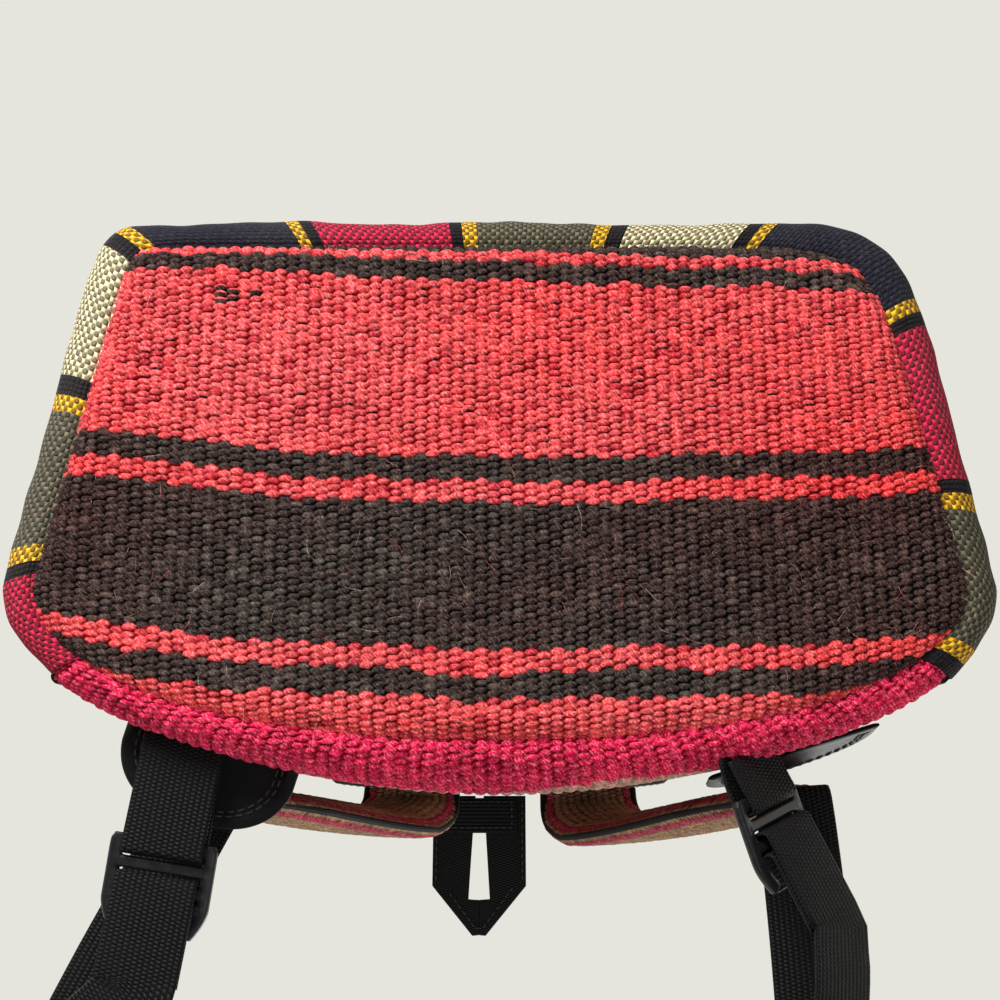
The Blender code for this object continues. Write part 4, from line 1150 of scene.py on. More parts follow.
makeZipEnds("BodyZipEnd", bag["rimHeight"] - 0.004, 0.4114, 0.0030, "bag")
makeZipEnds("LidZipEnd", 0.4100, bag["lidBase"] + 0.003, 0.0042, "lid")
makeTape("bodyZipTape", zipShape["low"], "bag", "body_zip_tape")
makeTape("lidZipTape", zipShape["lidTape"], "lid", "lid_zip_tape")
makeTeeth("bodyZipTeeth", zipShape["coil"], 1.0, "bag", "body_zip_coil")
makeTeeth("lidZipTeeth", zipShape["lidCoil"], -1.0, "lid", "lid_zip_coil")


def finishNode(name, slot, bevel=0.0):  # a node of the frame that is shown as it is
    thing = bpy.data.objects[name]
    thing.data.materials.clear()
    thing.data.materials.append(looks[slot])
    if bevel:
        edge = thing.modifiers.new("softEdges", "BEVEL")
        edge.width = bevel
        edge.segments = 3
        edge.limit_method = "ANGLE"
    return thing


for side in ("left", "right"):
    finishNode(side + "_zip_slider", "zip_metal", 0.0005)
    finishNode(side + "_zip_pull", "zip_metal", 0.0004)
    finishNode(side + "_zip_stop", "stopMetal", 0.0004)
finishNode("base_board", "stiff_board")
print("zip done")


# straps: webbing, ladder locks and pads

webbing = {"width": 0.030, "shownWidth": 0.0313, "thickness": 0.0016}
lockShape = {
    "length": 0.034, "width": 0.040, "thickness": 0.0032, "rail": 0.004, "bar": 0.0048, "rise": 0.006,
    "tail": 0.050, "slack": 0.050, "bend": 0.021, "taper": 0.26, "lip": 0.005, "spare": 0.0105,
}
strapPlaces = {
    "left": {
        "sign": -1.0, "inset": 0.056, "height": 0.022, "reach": 0.038,
        "heading": 9.0, "roll": 0.0, "slackHeading": 44.0, "arch": 0.014,
    },
    "right": {
        "sign": 1.0, "inset": 0.080, "height": 0.003, "reach": 0.0135,
        "heading": -26.0, "roll": -45.0, "slackHeading": 6.0, "arch": 0.018,
    },
}
gaps = {"fit": 0.0003, "cloth": 0.0006, "moving": 0.0005, "floor": 0.0005}
padShape = {
    "topX": 0.050, "endX": 0.116, "endHeight": 0.078, "half": 0.031, "thick": 0.010, "standOff": 0.0015,
    "endOff": 0.012, "turn": -0.12, "yokeBottom": 0.334, "yokeTop": 0.376, "yokeThick": 0.003,
}


def lockFrame(side):  # the lock's own axes: x across, y along the webbing
    spot = strapPlaces[side]
    turn = math.radians(spot["heading"])
    way = Vector((-math.sin(turn), math.cos(turn), 0.0))
    x = spot["sign"] * (bag["halfWidth"] - spot["inset"])
    lift = gaps["floor"] + spot["height"] + lockShape["width"] / 2 * abs(math.sin(math.radians(spot["roll"])))
    place = Vector((x, backY(x, lift), lift)) + way * spot["reach"]
    roll = Matrix.Rotation(math.radians(spot["roll"]), 4, "Y")
    return Matrix.Translation(place) @ Matrix.Rotation(turn, 4, "Z") @ roll


def barPlaces():  # edges of the bars and slots along the lock
    slot = (lockShape["length"] - 3 * lockShape["bar"] - lockShape["spare"]) / 3
    edges = [-lockShape["bar"] / 2]
    for step in (lockShape["bar"], slot, lockShape["bar"], slot, lockShape["bar"], slot):
        edges.append(edges[-1] + step)
    return edges + [edges[-1] + lockShape["lip"], lockShape["length"] - lockShape["bar"] / 2]


def lockLow(y):  # underside of the lock, which rises towards the thumb lip
    share = max(y, 0.0) / lockShape["length"]
    return 2.0 * webbing["thickness"] + gaps["fit"] - gaps["floor"] + lockShape["rise"] * share**1.2


def turnPoints(centre, radius, first, last, steps):
    angles = [math.radians(mixed(first, last, i / steps)) for i in range(steps + 1)]
    return [(centre[0] + radius * math.cos(a), centre[1] + radius * math.sin(a)) for a in angles]


def smoothLine(knots, steps):  # curve through all knots
    line = [knots[0]]
    for i in range(len(knots) - 1):
        p, q, r, s = knots[max(i - 1, 0)], knots[i], knots[i + 1], knots[min(i + 2, len(knots) - 1)]
        for k in range(1, steps + 1):
            t = k / steps
            bend = (2.0 * p - 5.0 * q + 4.0 * r - s) * t * t
            line.append(0.5 * (2.0 * q + (r - p) * t + bend + (3.0 * q - p - 3.0 * r + s) * t**3))
    return line


bandEdge = [  # half of the band's section: share of its width and of its thickness
    (-1.0, 0.0), (-0.985, 0.75), (-0.94, 1.0), (-0.5, 1.04),
    (0.0, 1.0), (0.5, 1.04), (0.94, 1.0), (0.985, 0.75),
]


def strapBand(name, places, sides):  # flat woven band with soft edges
    width = webbing["shownWidth"]
    half = webbing["thickness"] / 2
    section = bandEdge + [(-a, -b) for a, b in bandEdge]
    rings = []
    for i, here in enumerate(places):
        before = places[max(i - 1, 0)]
        after = places[min(i + 1, len(places) - 1)]
        into = (here - before).normalized() if i else (after - here).normalized()
        onward = (after - here).normalized() if i < len(places) - 1 else into
        way = (into + onward).normalized()
        across = (sides[i] - way * sides[i].dot(way)).normalized()
        up = across.cross(way)
        rise = half / max(into.dot(way), 0.7)
        rings.append([tuple(here + across * (width / 2 * a) + up * (rise * b)) for a, b in section])
    thing = loftPiece(name, rings)
    us = np.tile([a * width / 2 for a, b in section], len(places))
    giveUv(thing, "strapPlace", us, np.repeat(vectorMarks(places), len(section)))
    thing.data.uv_layers.active = thing.data.uv_layers["strapPlace"]
    return thing


def anchorLine(reach):  # from the seam, round the first bar and back
    edges = barPlaces()
    half = webbing["thickness"] / 2
    low = half + gaps["fit"]
    high = lockLow(0.0) + lockShape["thickness"] + 2 * gaps["moving"] + half
    turn = webbing["thickness"] * 1.4
    middle = edges[1] + 2 * gaps["moving"] + half - turn
    end = -reach - 0.005  # runs on into the seam
    line = []
    for i in range(9):
        rise = math.sin(math.pi / 2 * i / 8)
        line.append((mixed(end, middle - 0.004, i / 8), mixed(mixed(low, high, 0.5), high, rise)))
    line += turnPoints((middle, high - turn), turn, 90.0, 0.0, 8)
    line += turnPoints((middle, low + turn), turn, 0.0, -90.0, 8)
    return line + [(mixed(middle - 0.004, end + 0.002, i / 6), low) for i in range(7)]


def threadedLine():  # from the tail, up through the far slot, over the last bar and down again
    edges = barPlaces()
    half = webbing["thickness"] / 2
    low = half + gaps["fit"]
    tail = low + webbing["thickness"] + gaps["moving"]
    turn = webbing["thickness"] * 1.5
    top = lockLow(edges[5]) + lockShape["thickness"] + gaps["fit"] + half + gaps["moving"]
    far = edges[5] + gaps["fit"] + half + gaps["moving"]
    near = edges[4] - gaps["fit"] - half - gaps["moving"]
    line = [(mixed(lockShape["tail"], far + turn, i / 8), tail) for i in range(8)]
    line += turnPoints((far + turn, tail + turn), turn, -90.0, -180.0, 6)
    line += turnPoints((far - turn, top - turn), turn, 0.0, 90.0, 6)
    line += turnPoints((near + turn, top - turn), turn, 90.0, 180.0, 6)
    line += turnPoints((near + turn, low + turn), turn, 180.0, 270.0, 6)
    return line + [(mixed(near + turn, lockShape["tail"] + 0.004, i / 8), low) for i in range(1, 9)]


def padPlaces(side, count=16):  # middle line of a pad, from the yoke down
    spot = strapPlaces[side]
    top = padShape["yokeBottom"] - gaps["cloth"] - webbing["thickness"]
    places = []
    for i in range(count + 1):
        t = i / count
        z = mixed(top, padShape["endHeight"], t)
        x = mixed(padShape["topX"], padShape["endX"], t * t * (3.0 - 2.0 * t))
        stand = mixed(padShape["yokeThick"], padShape["standOff"] + padShape["thick"] / 2, min(t * 4.0, 1.0))
        y = backY(x, z) + stand + spot["arch"] * math.sin(math.pi * math.sqrt(t)) + padShape["endOff"] * t**3
        places.append(Vector((spot["sign"] * x, y, z)))
    return places


slackShape = {"hang": 0.030, "rise": 0.004, "below": (0.016, 0.005), "turnFrom": 0.55, "levelling": 3.6}


def freeLine(side):  # the slack webbing between the lock and the pad
    spot = strapPlaces[side]
    frameHere = lockFrame(side)
    across = frameHere.to_3x3() @ Vector((1.0, 0.0, 0.0))
    turn = math.radians(spot["slackHeading"])
    ahead = Vector((-math.sin(turn), math.cos(turn), 0.0))
    level = Vector((math.cos(turn), math.sin(turn), 0.0))
    floor = gaps["floor"] + gaps["fit"] + webbing["thickness"] / 2
    y, z = threadedLine()[-1]
    start = frameHere @ Vector((0.0, y, z))
    far = start + ahead * lockShape["slack"]
    far.z = floor
    roundOver = []
    for angle in (0.0, 45.0, 90.0, 135.0, 180.0):
        a = math.radians(angle)
        up = Vector((0.0, 0.0, lockShape["bend"] * (1.0 - math.cos(a))))
        roundOver.append(far + ahead * (lockShape["bend"] * math.sin(a)) + up)
    places = padPlaces(side)
    way = (places[-1] - places[-2]).normalized()
    sewn = places[-1] + way * (webbing["thickness"] + gaps["moving"])
    middle = roundOver[-1].lerp(sewn + way * slackShape["hang"], 0.5)
    middle.z = max(middle.z, far.z + 2 * lockShape["bend"]) + slackShape["rise"]
    below = [sewn + way * drop for drop in slackShape["below"]]
    free = smoothLine([start] + roundOver + [middle] + below, 8)[1:] + [sewn]
    acrossEnd = Vector((1.0, padShape["turn"] * spot["sign"], 0.0))
    ending = (acrossEnd - way * acrossEnd.dot(way)).normalized()
    sides = []
    for i, place in enumerate(free):
        t = (i + 1) / len(free)
        turned = unit((t - slackShape["turnFrom"]) / (1.0 - slackShape["turnFrom"]))
        early = min(t * slackShape["levelling"], 1.0)
        direction = across.lerp(level, early * early * (3.0 - 2.0 * early)).lerp(ending, turned)
        place.z = max(place.z, floor + webbing["width"] / 2 * abs(direction.normalized().z))
        sides.append(direction)
    return free, sides


def makeStrap(side):
    spot = strapPlaces[side]
    frameHere = lockFrame(side)
    across = frameHere.to_3x3() @ Vector((1.0, 0.0, 0.0))
    places = [frameHere @ Vector((0.0, y, z)) for y, z in anchorLine(spot["reach"])]
    anchor = strapBand(side + "AnchorWebbing", places, [across] * len(places))
    dress(anchor, "bag", "black_webbing", [side + "_anchor_webbing"])
    threaded = [frameHere @ Vector((0.0, y, z)) for y, z in threadedLine()]
    free, sides = freeLine(side)
    cut = 9  # where the lock's part of the slack ends
    tail = strapBand(side + "StrapTail", threaded + free[:cut], [across] * len(threaded) + sides[:cut])
    dress(tail, None, "black_webbing", (), False)
    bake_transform(tail)
    rest = strapBand(side + "StrapSlack", free[cut - 1:], sides[cut - 1:])
    dress(rest, None, "black_webbing", (), False)
    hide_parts(side + "_strap_webbing")
    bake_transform(rest)


lockLook = {  # rods are a share of the lock's own rail, bar and thickness; the rest is in metres
    "rail": (1.28, 1.16), "bar": (0.98, 0.96),
    "ridge": (0.0007, 0.0006), "ridgeRise": 0.42, "ridgePlaces": (-0.3, 0.3),
    "bow": 0.0006, "hingeTaper": 0.94, "lip": 0.0026, "lipRise": 0.0007, "lipThin": 0.72,
    "voxel": 0.00042, "ease": 4,
}


def makeLock(side):  # moulded adjuster: bowed rails, ribbed bars and a thumb lip
    frameHere = lockFrame(side)
    edges = barPlaces()
    half = lockShape["width"] / 2
    thick = lockShape["thickness"]
    shape = bmesh.new()

    def taperAt(y):
        return 1.0 - lockShape["taper"] * max((y - edges[6]) / (edges[-1] - edges[6]), 0.0) ** 1.6

    def rodAcross(reach, y, z, wide, deep):
        rod([(mixed(-reach, reach, i / 8), y, z) for i in range(9)], wide, deep)

    def rod(path, wide, deep):
        sides = 16
        rings = []
        for i, here in enumerate(path):
            before = Vector(path[max(i - 1, 0)])
            after = Vector(path[min(i + 1, len(path) - 1)])
            way = (after - before).normalized()
            sideways = way.cross(Vector((0.0, 0.0, 1.0))).normalized()
            up = sideways.cross(way)
            ring = []
            for k in range(sides):
                a = 2 * math.pi * k / sides
                c = wide / 2 * softened(math.cos(a), 0.6)
                s = deep / 2 * softened(math.sin(a), 0.6)
                ring.append(shape.verts.new(Vector(here) + sideways * c + up * s))
            rings.append(ring)
        for low, high in zip(rings, rings[1:]):
            for k in range(sides):
                shape.faces.new([low[k], low[(k + 1) % sides], high[(k + 1) % sides], high[k]])
        shape.faces.new(rings[0][::-1])
        shape.faces.new(rings[-1])

    rail = lockShape["rail"]
    for sign in (-1.0, 1.0):
        path = []
        for i in range(25):
            y = mixed(edges[0], edges[-1], i / 24)
            taper = lockLook["hingeTaper"] if y < 0 else taperAt(y)
            bow = lockLook["bow"] * math.sin(math.pi * i / 24)
            path.append((sign * (half - rail / 2) * taper, y, lockLow(y) + thick / 2 + bow))
        rod(path, rail * lockLook["rail"][0], thick * lockLook["rail"][1])
    for first in (0, 2, 4):
        y = (edges[first] + edges[first + 1]) / 2
        z = lockLow(y) + thick / 2
        rodAcross(half - rail * 0.6, y, z, lockShape["bar"] * lockLook["bar"][0], thick * lockLook["bar"][1])
        if first:  # the first bar is the hinge and has no ridges
            for share in lockLook["ridgePlaces"]:
                ridgeZ = z + thick * lockLook["ridgeRise"]
                rodAcross(half - rail, y + share * lockShape["bar"], ridgeZ, *lockLook["ridge"])
    for i in range(7):  # thumb lip
        y = mixed(edges[6] - 0.0006, edges[-1] + 0.0004, i / 6)
        z = lockLow(y) + thick / 2 + lockLook["lipRise"] * i / 6
        lipThick = thick * mixed(1.0, lockLook["lipThin"], i / 6)
        rodAcross((half - rail * 0.5) * taperAt(y), y, z, lockLook["lip"], lipThick)
    mesh = bpy.data.meshes.new(side + "LadderLock")
    shape.to_mesh(mesh)
    shape.free()
    mesh.transform(frameHere)
    thing = bpy.data.objects.new(side + "LadderLock", mesh)
    scene.collection.objects.link(thing)
    outwards(thing)
    fuse = thing.modifiers.new("fuse", "REMESH")
    fuse.mode = "VOXEL"
    fuse.voxel_size = lockLook["voxel"]
    ease = thing.modifiers.new("ease", "SMOOTH")
    ease.factor = 0.5
    ease.iterations = lockLook["ease"]
    settle(thing)
    thing.data.shade_smooth()
    return dress(thing, side + "_lock", "black_plastic", [side + "_ladder_lock"])


def settle(thing):  # modifiers become the mesh
    bpy.context.view_layer.update()
    graph = bpy.context.evaluated_depsgraph_get()
    mesh = bpy.data.meshes.new_from_object(thing.evaluated_get(graph))
    thing.modifiers.clear()
    old = thing.data
    thing.data = mesh
    bpy.data.meshes.remove(old)
    mesh.name = thing.name


padLook = {
    "around": 40, "along": 84, "fill": 0.7,
    "pressure": 3.5, "cap": 0.0035, "frames": 16, "quality": 6, "stiffness": 30, "bending": 0.6,
    "rugLift": 0.0023, "rugColumns": 30, "pinkFrom": 0.0250, "pinkTo": 0.0305,
    "piping": 0.0019, "pipingStep": 0.003, "stitchIn": 0.0055,
}


def puff(thing, pinned, look):  # cloth run under pressure, sewn edges held
    group = thing.vertex_groups.new(name="sewn")
    group.add(pinned, 1.0, "REPLACE")
    before = np.empty(len(thing.data.vertices) * 3)
    thing.data.vertices.foreach_get("co", before)
    cloth = thing.modifiers.new("puff", "CLOTH")
    cloth.settings.quality = look["quality"]
    cloth.settings.use_pressure = True
    cloth.settings.uniform_pressure_force = look["pressure"]
    cloth.settings.vertex_group_mass = "sewn"
    cloth.settings.tension_stiffness = look["stiffness"]
    cloth.settings.compression_stiffness = look["stiffness"]
    cloth.settings.bending_stiffness = look["bending"]
    cloth.settings.effector_weights.gravity = 0.0
    cloth.point_cache.frame_start = 1
    cloth.point_cache.frame_end = look["frames"]
    for number in range(1, look["frames"] + 1):
        scene.frame_set(number)
    graph = bpy.context.evaluated_depsgraph_get()
    after = np.empty_like(before)
    result = thing.evaluated_get(graph).to_mesh()
    result.vertices.foreach_get("co", after)
    thing.modifiers.clear()
    thing.vertex_groups.clear()
    scene.frame_set(1)
    move = (after - before).reshape(-1, 3)
    length = np.linalg.norm(move, axis=1, keepdims=True)
    move *= np.minimum(1.0, look["cap"] / np.maximum(length, 1e-9))
    thing.data.vertices.foreach_set("co", (before.reshape(-1, 3) + move).ravel())
    thing.data.update()
    print("  puffed", thing.name, "by up to", round(float(length.max()) * 1000, 1), "mm")


def makePad(side):
    spot = strapPlaces[side]
    count = padLook["along"]
    around = padLook["around"]
    turns = [2 * math.pi * k / around for k in range(around)]
    places = padPlaces(side, count)
    marks = vectorMarks(places)
    rings = []
    us = []
    crown = []
    for i, here in enumerate(places):
        t = i / count
        way = (places[min(i + 1, count)] - places[max(i - 1, 0)]).normalized()
        across = Vector((1.0, padShape["turn"] * spot["sign"] * min(t * 4.0, 1.0), 0.0))
        across = (across - way * across.dot(way)).normalized()
        up = across.cross(way)
        if up.y < 0:
            up = -up
        swell = math.sin(min(t * 9.0, (1.0 - t) * 7.0, 1.0) * math.pi / 2)
        half = padShape["half"] * mixed(0.86, 1.0, min(t * 3.0, 1.0))
        half *= mixed(0.58, 1.0, min((1.0 - t) * 4.0, 1.0))
        deep = padShape["thick"] / 2 * mixed(0.24, 0.72, swell)
        ring = []
        for turn in turns:
            wide = (half - 0.0016) * softened(math.cos(turn), 0.7)
            ring.append(tuple(here + across * wide + up * (deep * softened(math.sin(turn), 0.75))))
        rings.append(ring)
        us += [half * math.cos(turn) for turn in turns]
        crown.append((here, across, up, half, deep))
    thing = loftPiece(side + "ShoulderPad", rings)
    thing.data.uv_layers.remove(thing.data.uv_layers["clothPlace"])
    giveUv(thing, "clothPlace", us, np.repeat(marks, around))
    edge = (0, around // 2)
    ends = (0, count)
    pinned = [r * around + k for r in range(count + 1) for k in range(around) if k in edge or r in ends]
    puff(thing, pinned, padLook)
    dress(thing, side + "_strap", "lining_cloth", [side + "_shoulder_pad"])
    grid = np.array([v.co for v in thing.data.vertices]).reshape(count + 1, around, 3)
    middle = np.array([tuple(p) for p in places])[:, None]
    for tag, first in (("Outer", 0), ("Inner", around // 2)):
        columns = [k % around for k in range(first, first + around // 2 + 1)]
        table = np.array([evenRow(row, padLook["rugColumns"]) for row in grid[:, columns]])
        facePad(side, tag, table, middle, marks)
    left, right = ([], [])
    for here, across, up, half, deep in crown:
        left.append(tuple(here - across * (half - 0.0014)))
        right.append(tuple(here + across * (half - 0.0014)))
    loop = evenPath(left + right[::-1], padLook["pipingStep"])
    piping = sweep(side + "PadPiping", loop, padLook["piping"], 10)
    dress(piping, side + "_strap", "black_binding")
    return crown[6:-4]


def facePad(side, tag, table, middle, marks):  # rug over one face of a pad
    surface = Surface(table, marks)
    surface.outward = np.sign((surface.normals * (table - middle)).sum(-1).mean())
    width = pathLength(table[len(table) // 2])

    def placeOf(u, v):
        share = u / width + 0.5
        normals = surface.read(surface.normals * surface.outward, share, v)
        lift = padLook["rugLift"] * np.clip(v / 0.040, 0.25, 1.0) ** 0.6  # thin where it goes under the yoke
        points = surface.read(surface.points, share, v) + normals * lift[..., None]
        return points, normals, np.ones(u.shape, bool)

    def tintOf(u, v, luck):
        pink = (np.abs(u) > padLook["pinkFrom"]) & (np.abs(u) < padLook["pinkTo"])
        return yarnTints([lidRugLook["beige"], lidRugLook["pink"]], np.where(pink, 1, 0), luck, 0.2)

    name = side + "Pad" + tag + "Rug"
    rug = rugSheet(name, (-width / 2, width / 2), (0.0, marks[-1]), placeOf, tintOf, padWeave)
    dress(rug, side + "_strap", "beige_rug")


threadShape = {"length": 0.0028, "gap": 0.0012, "radius": 0.00038, "arch": (-0.3, 0.75, 0.95, 0.75, -0.3)}


def stitchRow(name, places, normals, body):  # short thread loops lying on a cloth
    places = np.asarray(places, float)
    normals = np.asarray(normals, float)
    length, gap, radius = (threadShape[key] for key in ("length", "gap", "radius"))
    marks = pathMarks(places)
    count = max(int(marks[-1] / (length + gap)), 1)
    points = []
    faces = []
    for i in range(count):
        spans = (i + np.linspace(0.0, 1.0, 5) * length / (length + gap)) * marks[-1] / count
        line = np.stack([np.interp(spans, marks, places[:, k]) for k in range(3)], axis=1)
        lift = np.stack([np.interp(spans, marks, normals[:, k]) for k in range(3)], axis=1)
        line = line + lift * (np.array(threadShape["arch"]) * radius)[:, None]
        way = line[-1] - line[0]
        way /= max(np.linalg.norm(way), 1e-9)
        side = np.cross(way, lift[2])
        side /= max(np.linalg.norm(side), 1e-9)
        first = len(points)
        for j in range(5):
            for k in range(6):
                a = 2 * math.pi * k / 6
                points.append(line[j] + radius * (math.cos(a) * side + math.sin(a) * lift[j]))
        faces += (gridFaces(5, 6, True) + first).tolist()
        faces.append([first + k for k in range(6)][::-1])
        faces.append([first + 24 + k for k in range(6)])
    thing = meshPiece(name, points, faces)
    outwards(thing)
    return dress(thing, body, "thread")


for side in ("left", "right"):
    makeStrap(side)
    makeLock(side)
    crown = makePad(side)
    for sign, tag in ((-1.0, "Inner"), (1.0, "Outer")):
        row = []
        for here, across, up, half, deep in crown:
            seamAt = across * (sign * (half - padLook["stitchIn"]))
            row.append(np.array(here + seamAt + up * (deep * 0.80 + 0.0008)))
        stitchRow(side + "Pad" + tag + "Stitch", row, [np.array(spot[2]) for spot in crown], side + "_strap")
    print(side, "strap done")


# corner tabs, yoke and handle

tabShape = {
    "width": 0.070, "length": 0.0265, "thick": 0.0024, "rootBend": 5.0, "root": 0.003,
    "left": {"height": 0.0325, "inset": 0.065, "tilt": 3.0},
    "right": {"height": 0.0420, "inset": 0.063, "tilt": 84.0},
    "shares": [0.02, 0.2, 0.4, 0.6, 0.72, 0.80, 0.84, 0.88, 0.92, 0.95, 0.98, 1.0],
}


def makeTab(side):  # rounded tab with a rolled edge and two stitch lines
    sign = strapPlaces[side]["sign"]
    x = sign * (bag["halfWidth"] - tabShape[side]["inset"])
    z = tabShape[side]["height"]
    tilt = math.radians(tabShape[side]["tilt"])
    turn = math.atan((backY(x + 0.001, z) - backY(x - 0.001, z)) / 0.002)
    out = 2 * gaps["cloth"] + tabShape["thick"] * math.sin(tilt)
    place = Vector((x, backY(x, z), z)) + Vector((-math.sin(turn), math.cos(turn), 0.0)) * out
    spot = Matrix.Translation(place) @ Matrix.Rotation(turn, 4, "Z") @ Matrix.Rotation(tilt, 4, "X")

    def rim(share):
        line = []
        for i in range(73):
            angle = math.pi * i / 72
            px = tabShape["width"] / 2 * softened(math.cos(angle), 0.8) * share
            sewn = gaps["cloth"] - tabShape["root"] - px * px * tabShape["rootBend"]  # runs into the seam
            free = max(tabShape["length"] * math.sin(angle) ** 0.9 * share, sewn) if 2 < i < 70 else sewn
            line.append((px, free))
        return line

    def level(share):  # thickness across the tab
        roll = 0.28 * math.exp(-((share - 0.90) / 0.07) ** 2)
        return tabShape["thick"] * (0.72 + roll - 0.45 * max((share - 0.94) / 0.06, 0.0) ** 2)

    rings = []
    for face, shares in ((1.0, tabShape["shares"]), (-1.0, tabShape["shares"][::-1])):
        for share in shares:
            z = tabShape["thick"] / 2 + face * level(share) / 2
            rings.append([(px, py, z) for px, py in rim(share)])
    points = np.array(rings)
    thing = skin(side + "WingTab", points)
    giveUv(thing, "clothPlace", points[..., 0].ravel(), points[..., 1].ravel())
    thing.data.transform(spot)
    dress(thing, "bag", "black_tab", [side + "_wing_tab"])
    for face, tag in ((-1.0, "Under"), (1.0, "Upper")):
        normal = np.array(spot.to_3x3() @ Vector((0.0, 0.0, face)))
        for share, row in ((0.83, "A"), (0.77, "B")):
            lift = tabShape["thick"] / 2 + face * level(share) / 2
            line = [np.array(spot @ Vector((px, py, lift))) for px, py in rim(share)]
            stitchRow(side + "Tab" + tag + row, line, [normal] * len(line), "bag")
    return thing


yokeShape = {
    "half": 0.096, "handleX": -0.012, "rim": 0.0022, "seam": 0.0052, "boxHalf": 0.022, "box": (0.010, 0.030),
}


def boxCorners(x0, y0, x1, y1):
    return [(x0, y0), (x1, y0), (x1, y1), (x0, y1), (x0, y0)]


def yokePoint(x, z, off):
    return np.array((x, backY(x, z, 0.0013) + off, z))


def makeYoke():
    columns = 97
    rows = 29
    low, high, half = padShape["yokeBottom"], padShape["yokeTop"], yokeShape["half"]
    top = []
    for r in range(rows):
        z = mixed(low, high, r / (rows - 1))
        line = []
        for c in range(columns):
            x = mixed(-half, half, c / (columns - 1))
            edge = min(x + half, half - x, z - low, high - z)
            seamDip = 0.0006 * math.exp(-((edge - yokeShape["seam"]) / 0.0011) ** 2)
            thick = padShape["yokeThick"] * (0.45 + 0.55 * min(edge / yokeShape["rim"], 1.0) ** 0.5) - seamDip
            line.append(yokePoint(x, z, thick))
        top.append(line)
    under = [[yokePoint(p[0], p[2], 0.0) for p in line] for line in top]
    points = np.concatenate([np.array(top).reshape(-1, 3), np.array(under).reshape(-1, 3)])
    count = rows * columns
    upper = gridFaces(rows, columns)
    faces = upper.tolist() + (upper[:, ::-1] + count).tolist()
    rim = [c for c in range(columns)] + [r * columns + columns - 1 for r in range(1, rows)]
    rim += [(rows - 1) * columns + c for c in range(columns - 2, -1, -1)]
    rim += [r * columns for r in range(rows - 2, 0, -1)]
    for a, b in zip(rim, rim[1:] + rim[:1]):
        faces.append([a, b, b + count, a + count])
    thing = meshPiece("strapYoke", points, faces)
    outwards(thing)
    giveUv(thing, "clothPlace", points[:, 0], points[:, 2])
    dress(thing, "bag", "black_tab", ["strap_yoke"])

    def row(name, corners):
        line = [yokePoint(x, z, padShape["yokeThick"] - 0.0004) for x, z in cornerLine(corners)]
        stitchRow(name, line, [(0.0, 1.0, 0.0)] * len(line), "bag")

    inset = yokeShape["seam"]
    row("yokeEdgeStitch", boxCorners(-half + inset, low + inset, half - inset, high - inset))
    boxLow, boxHigh = (low + share for share in yokeShape["box"])
    for side, x in (("left", -padShape["topX"]), ("right", padShape["topX"])):
        x0, x1 = x - yokeShape["boxHalf"], x + yokeShape["boxHalf"]
        row(side + "YokeBox", boxCorners(x0, boxLow, x1, boxHigh) + [(x1, boxHigh)])
        row(side + "YokeCross", [(x0, boxHigh), (x1, boxLow)])


handleShape = {
    "patch": 0.022, "half": 0.027, "length": 0.080, "point": 0.028, "slitRoot": 0.0046, "slitEnd": 0.013,
    "slitLength": 0.060, "thick": 0.0024, "foldThick": 0.0012, "patchThick": 0.0011, "droop": 8.0,
    "soft": 0.00035, "seam": 0.0022, "rootHeight": 0.72,
}


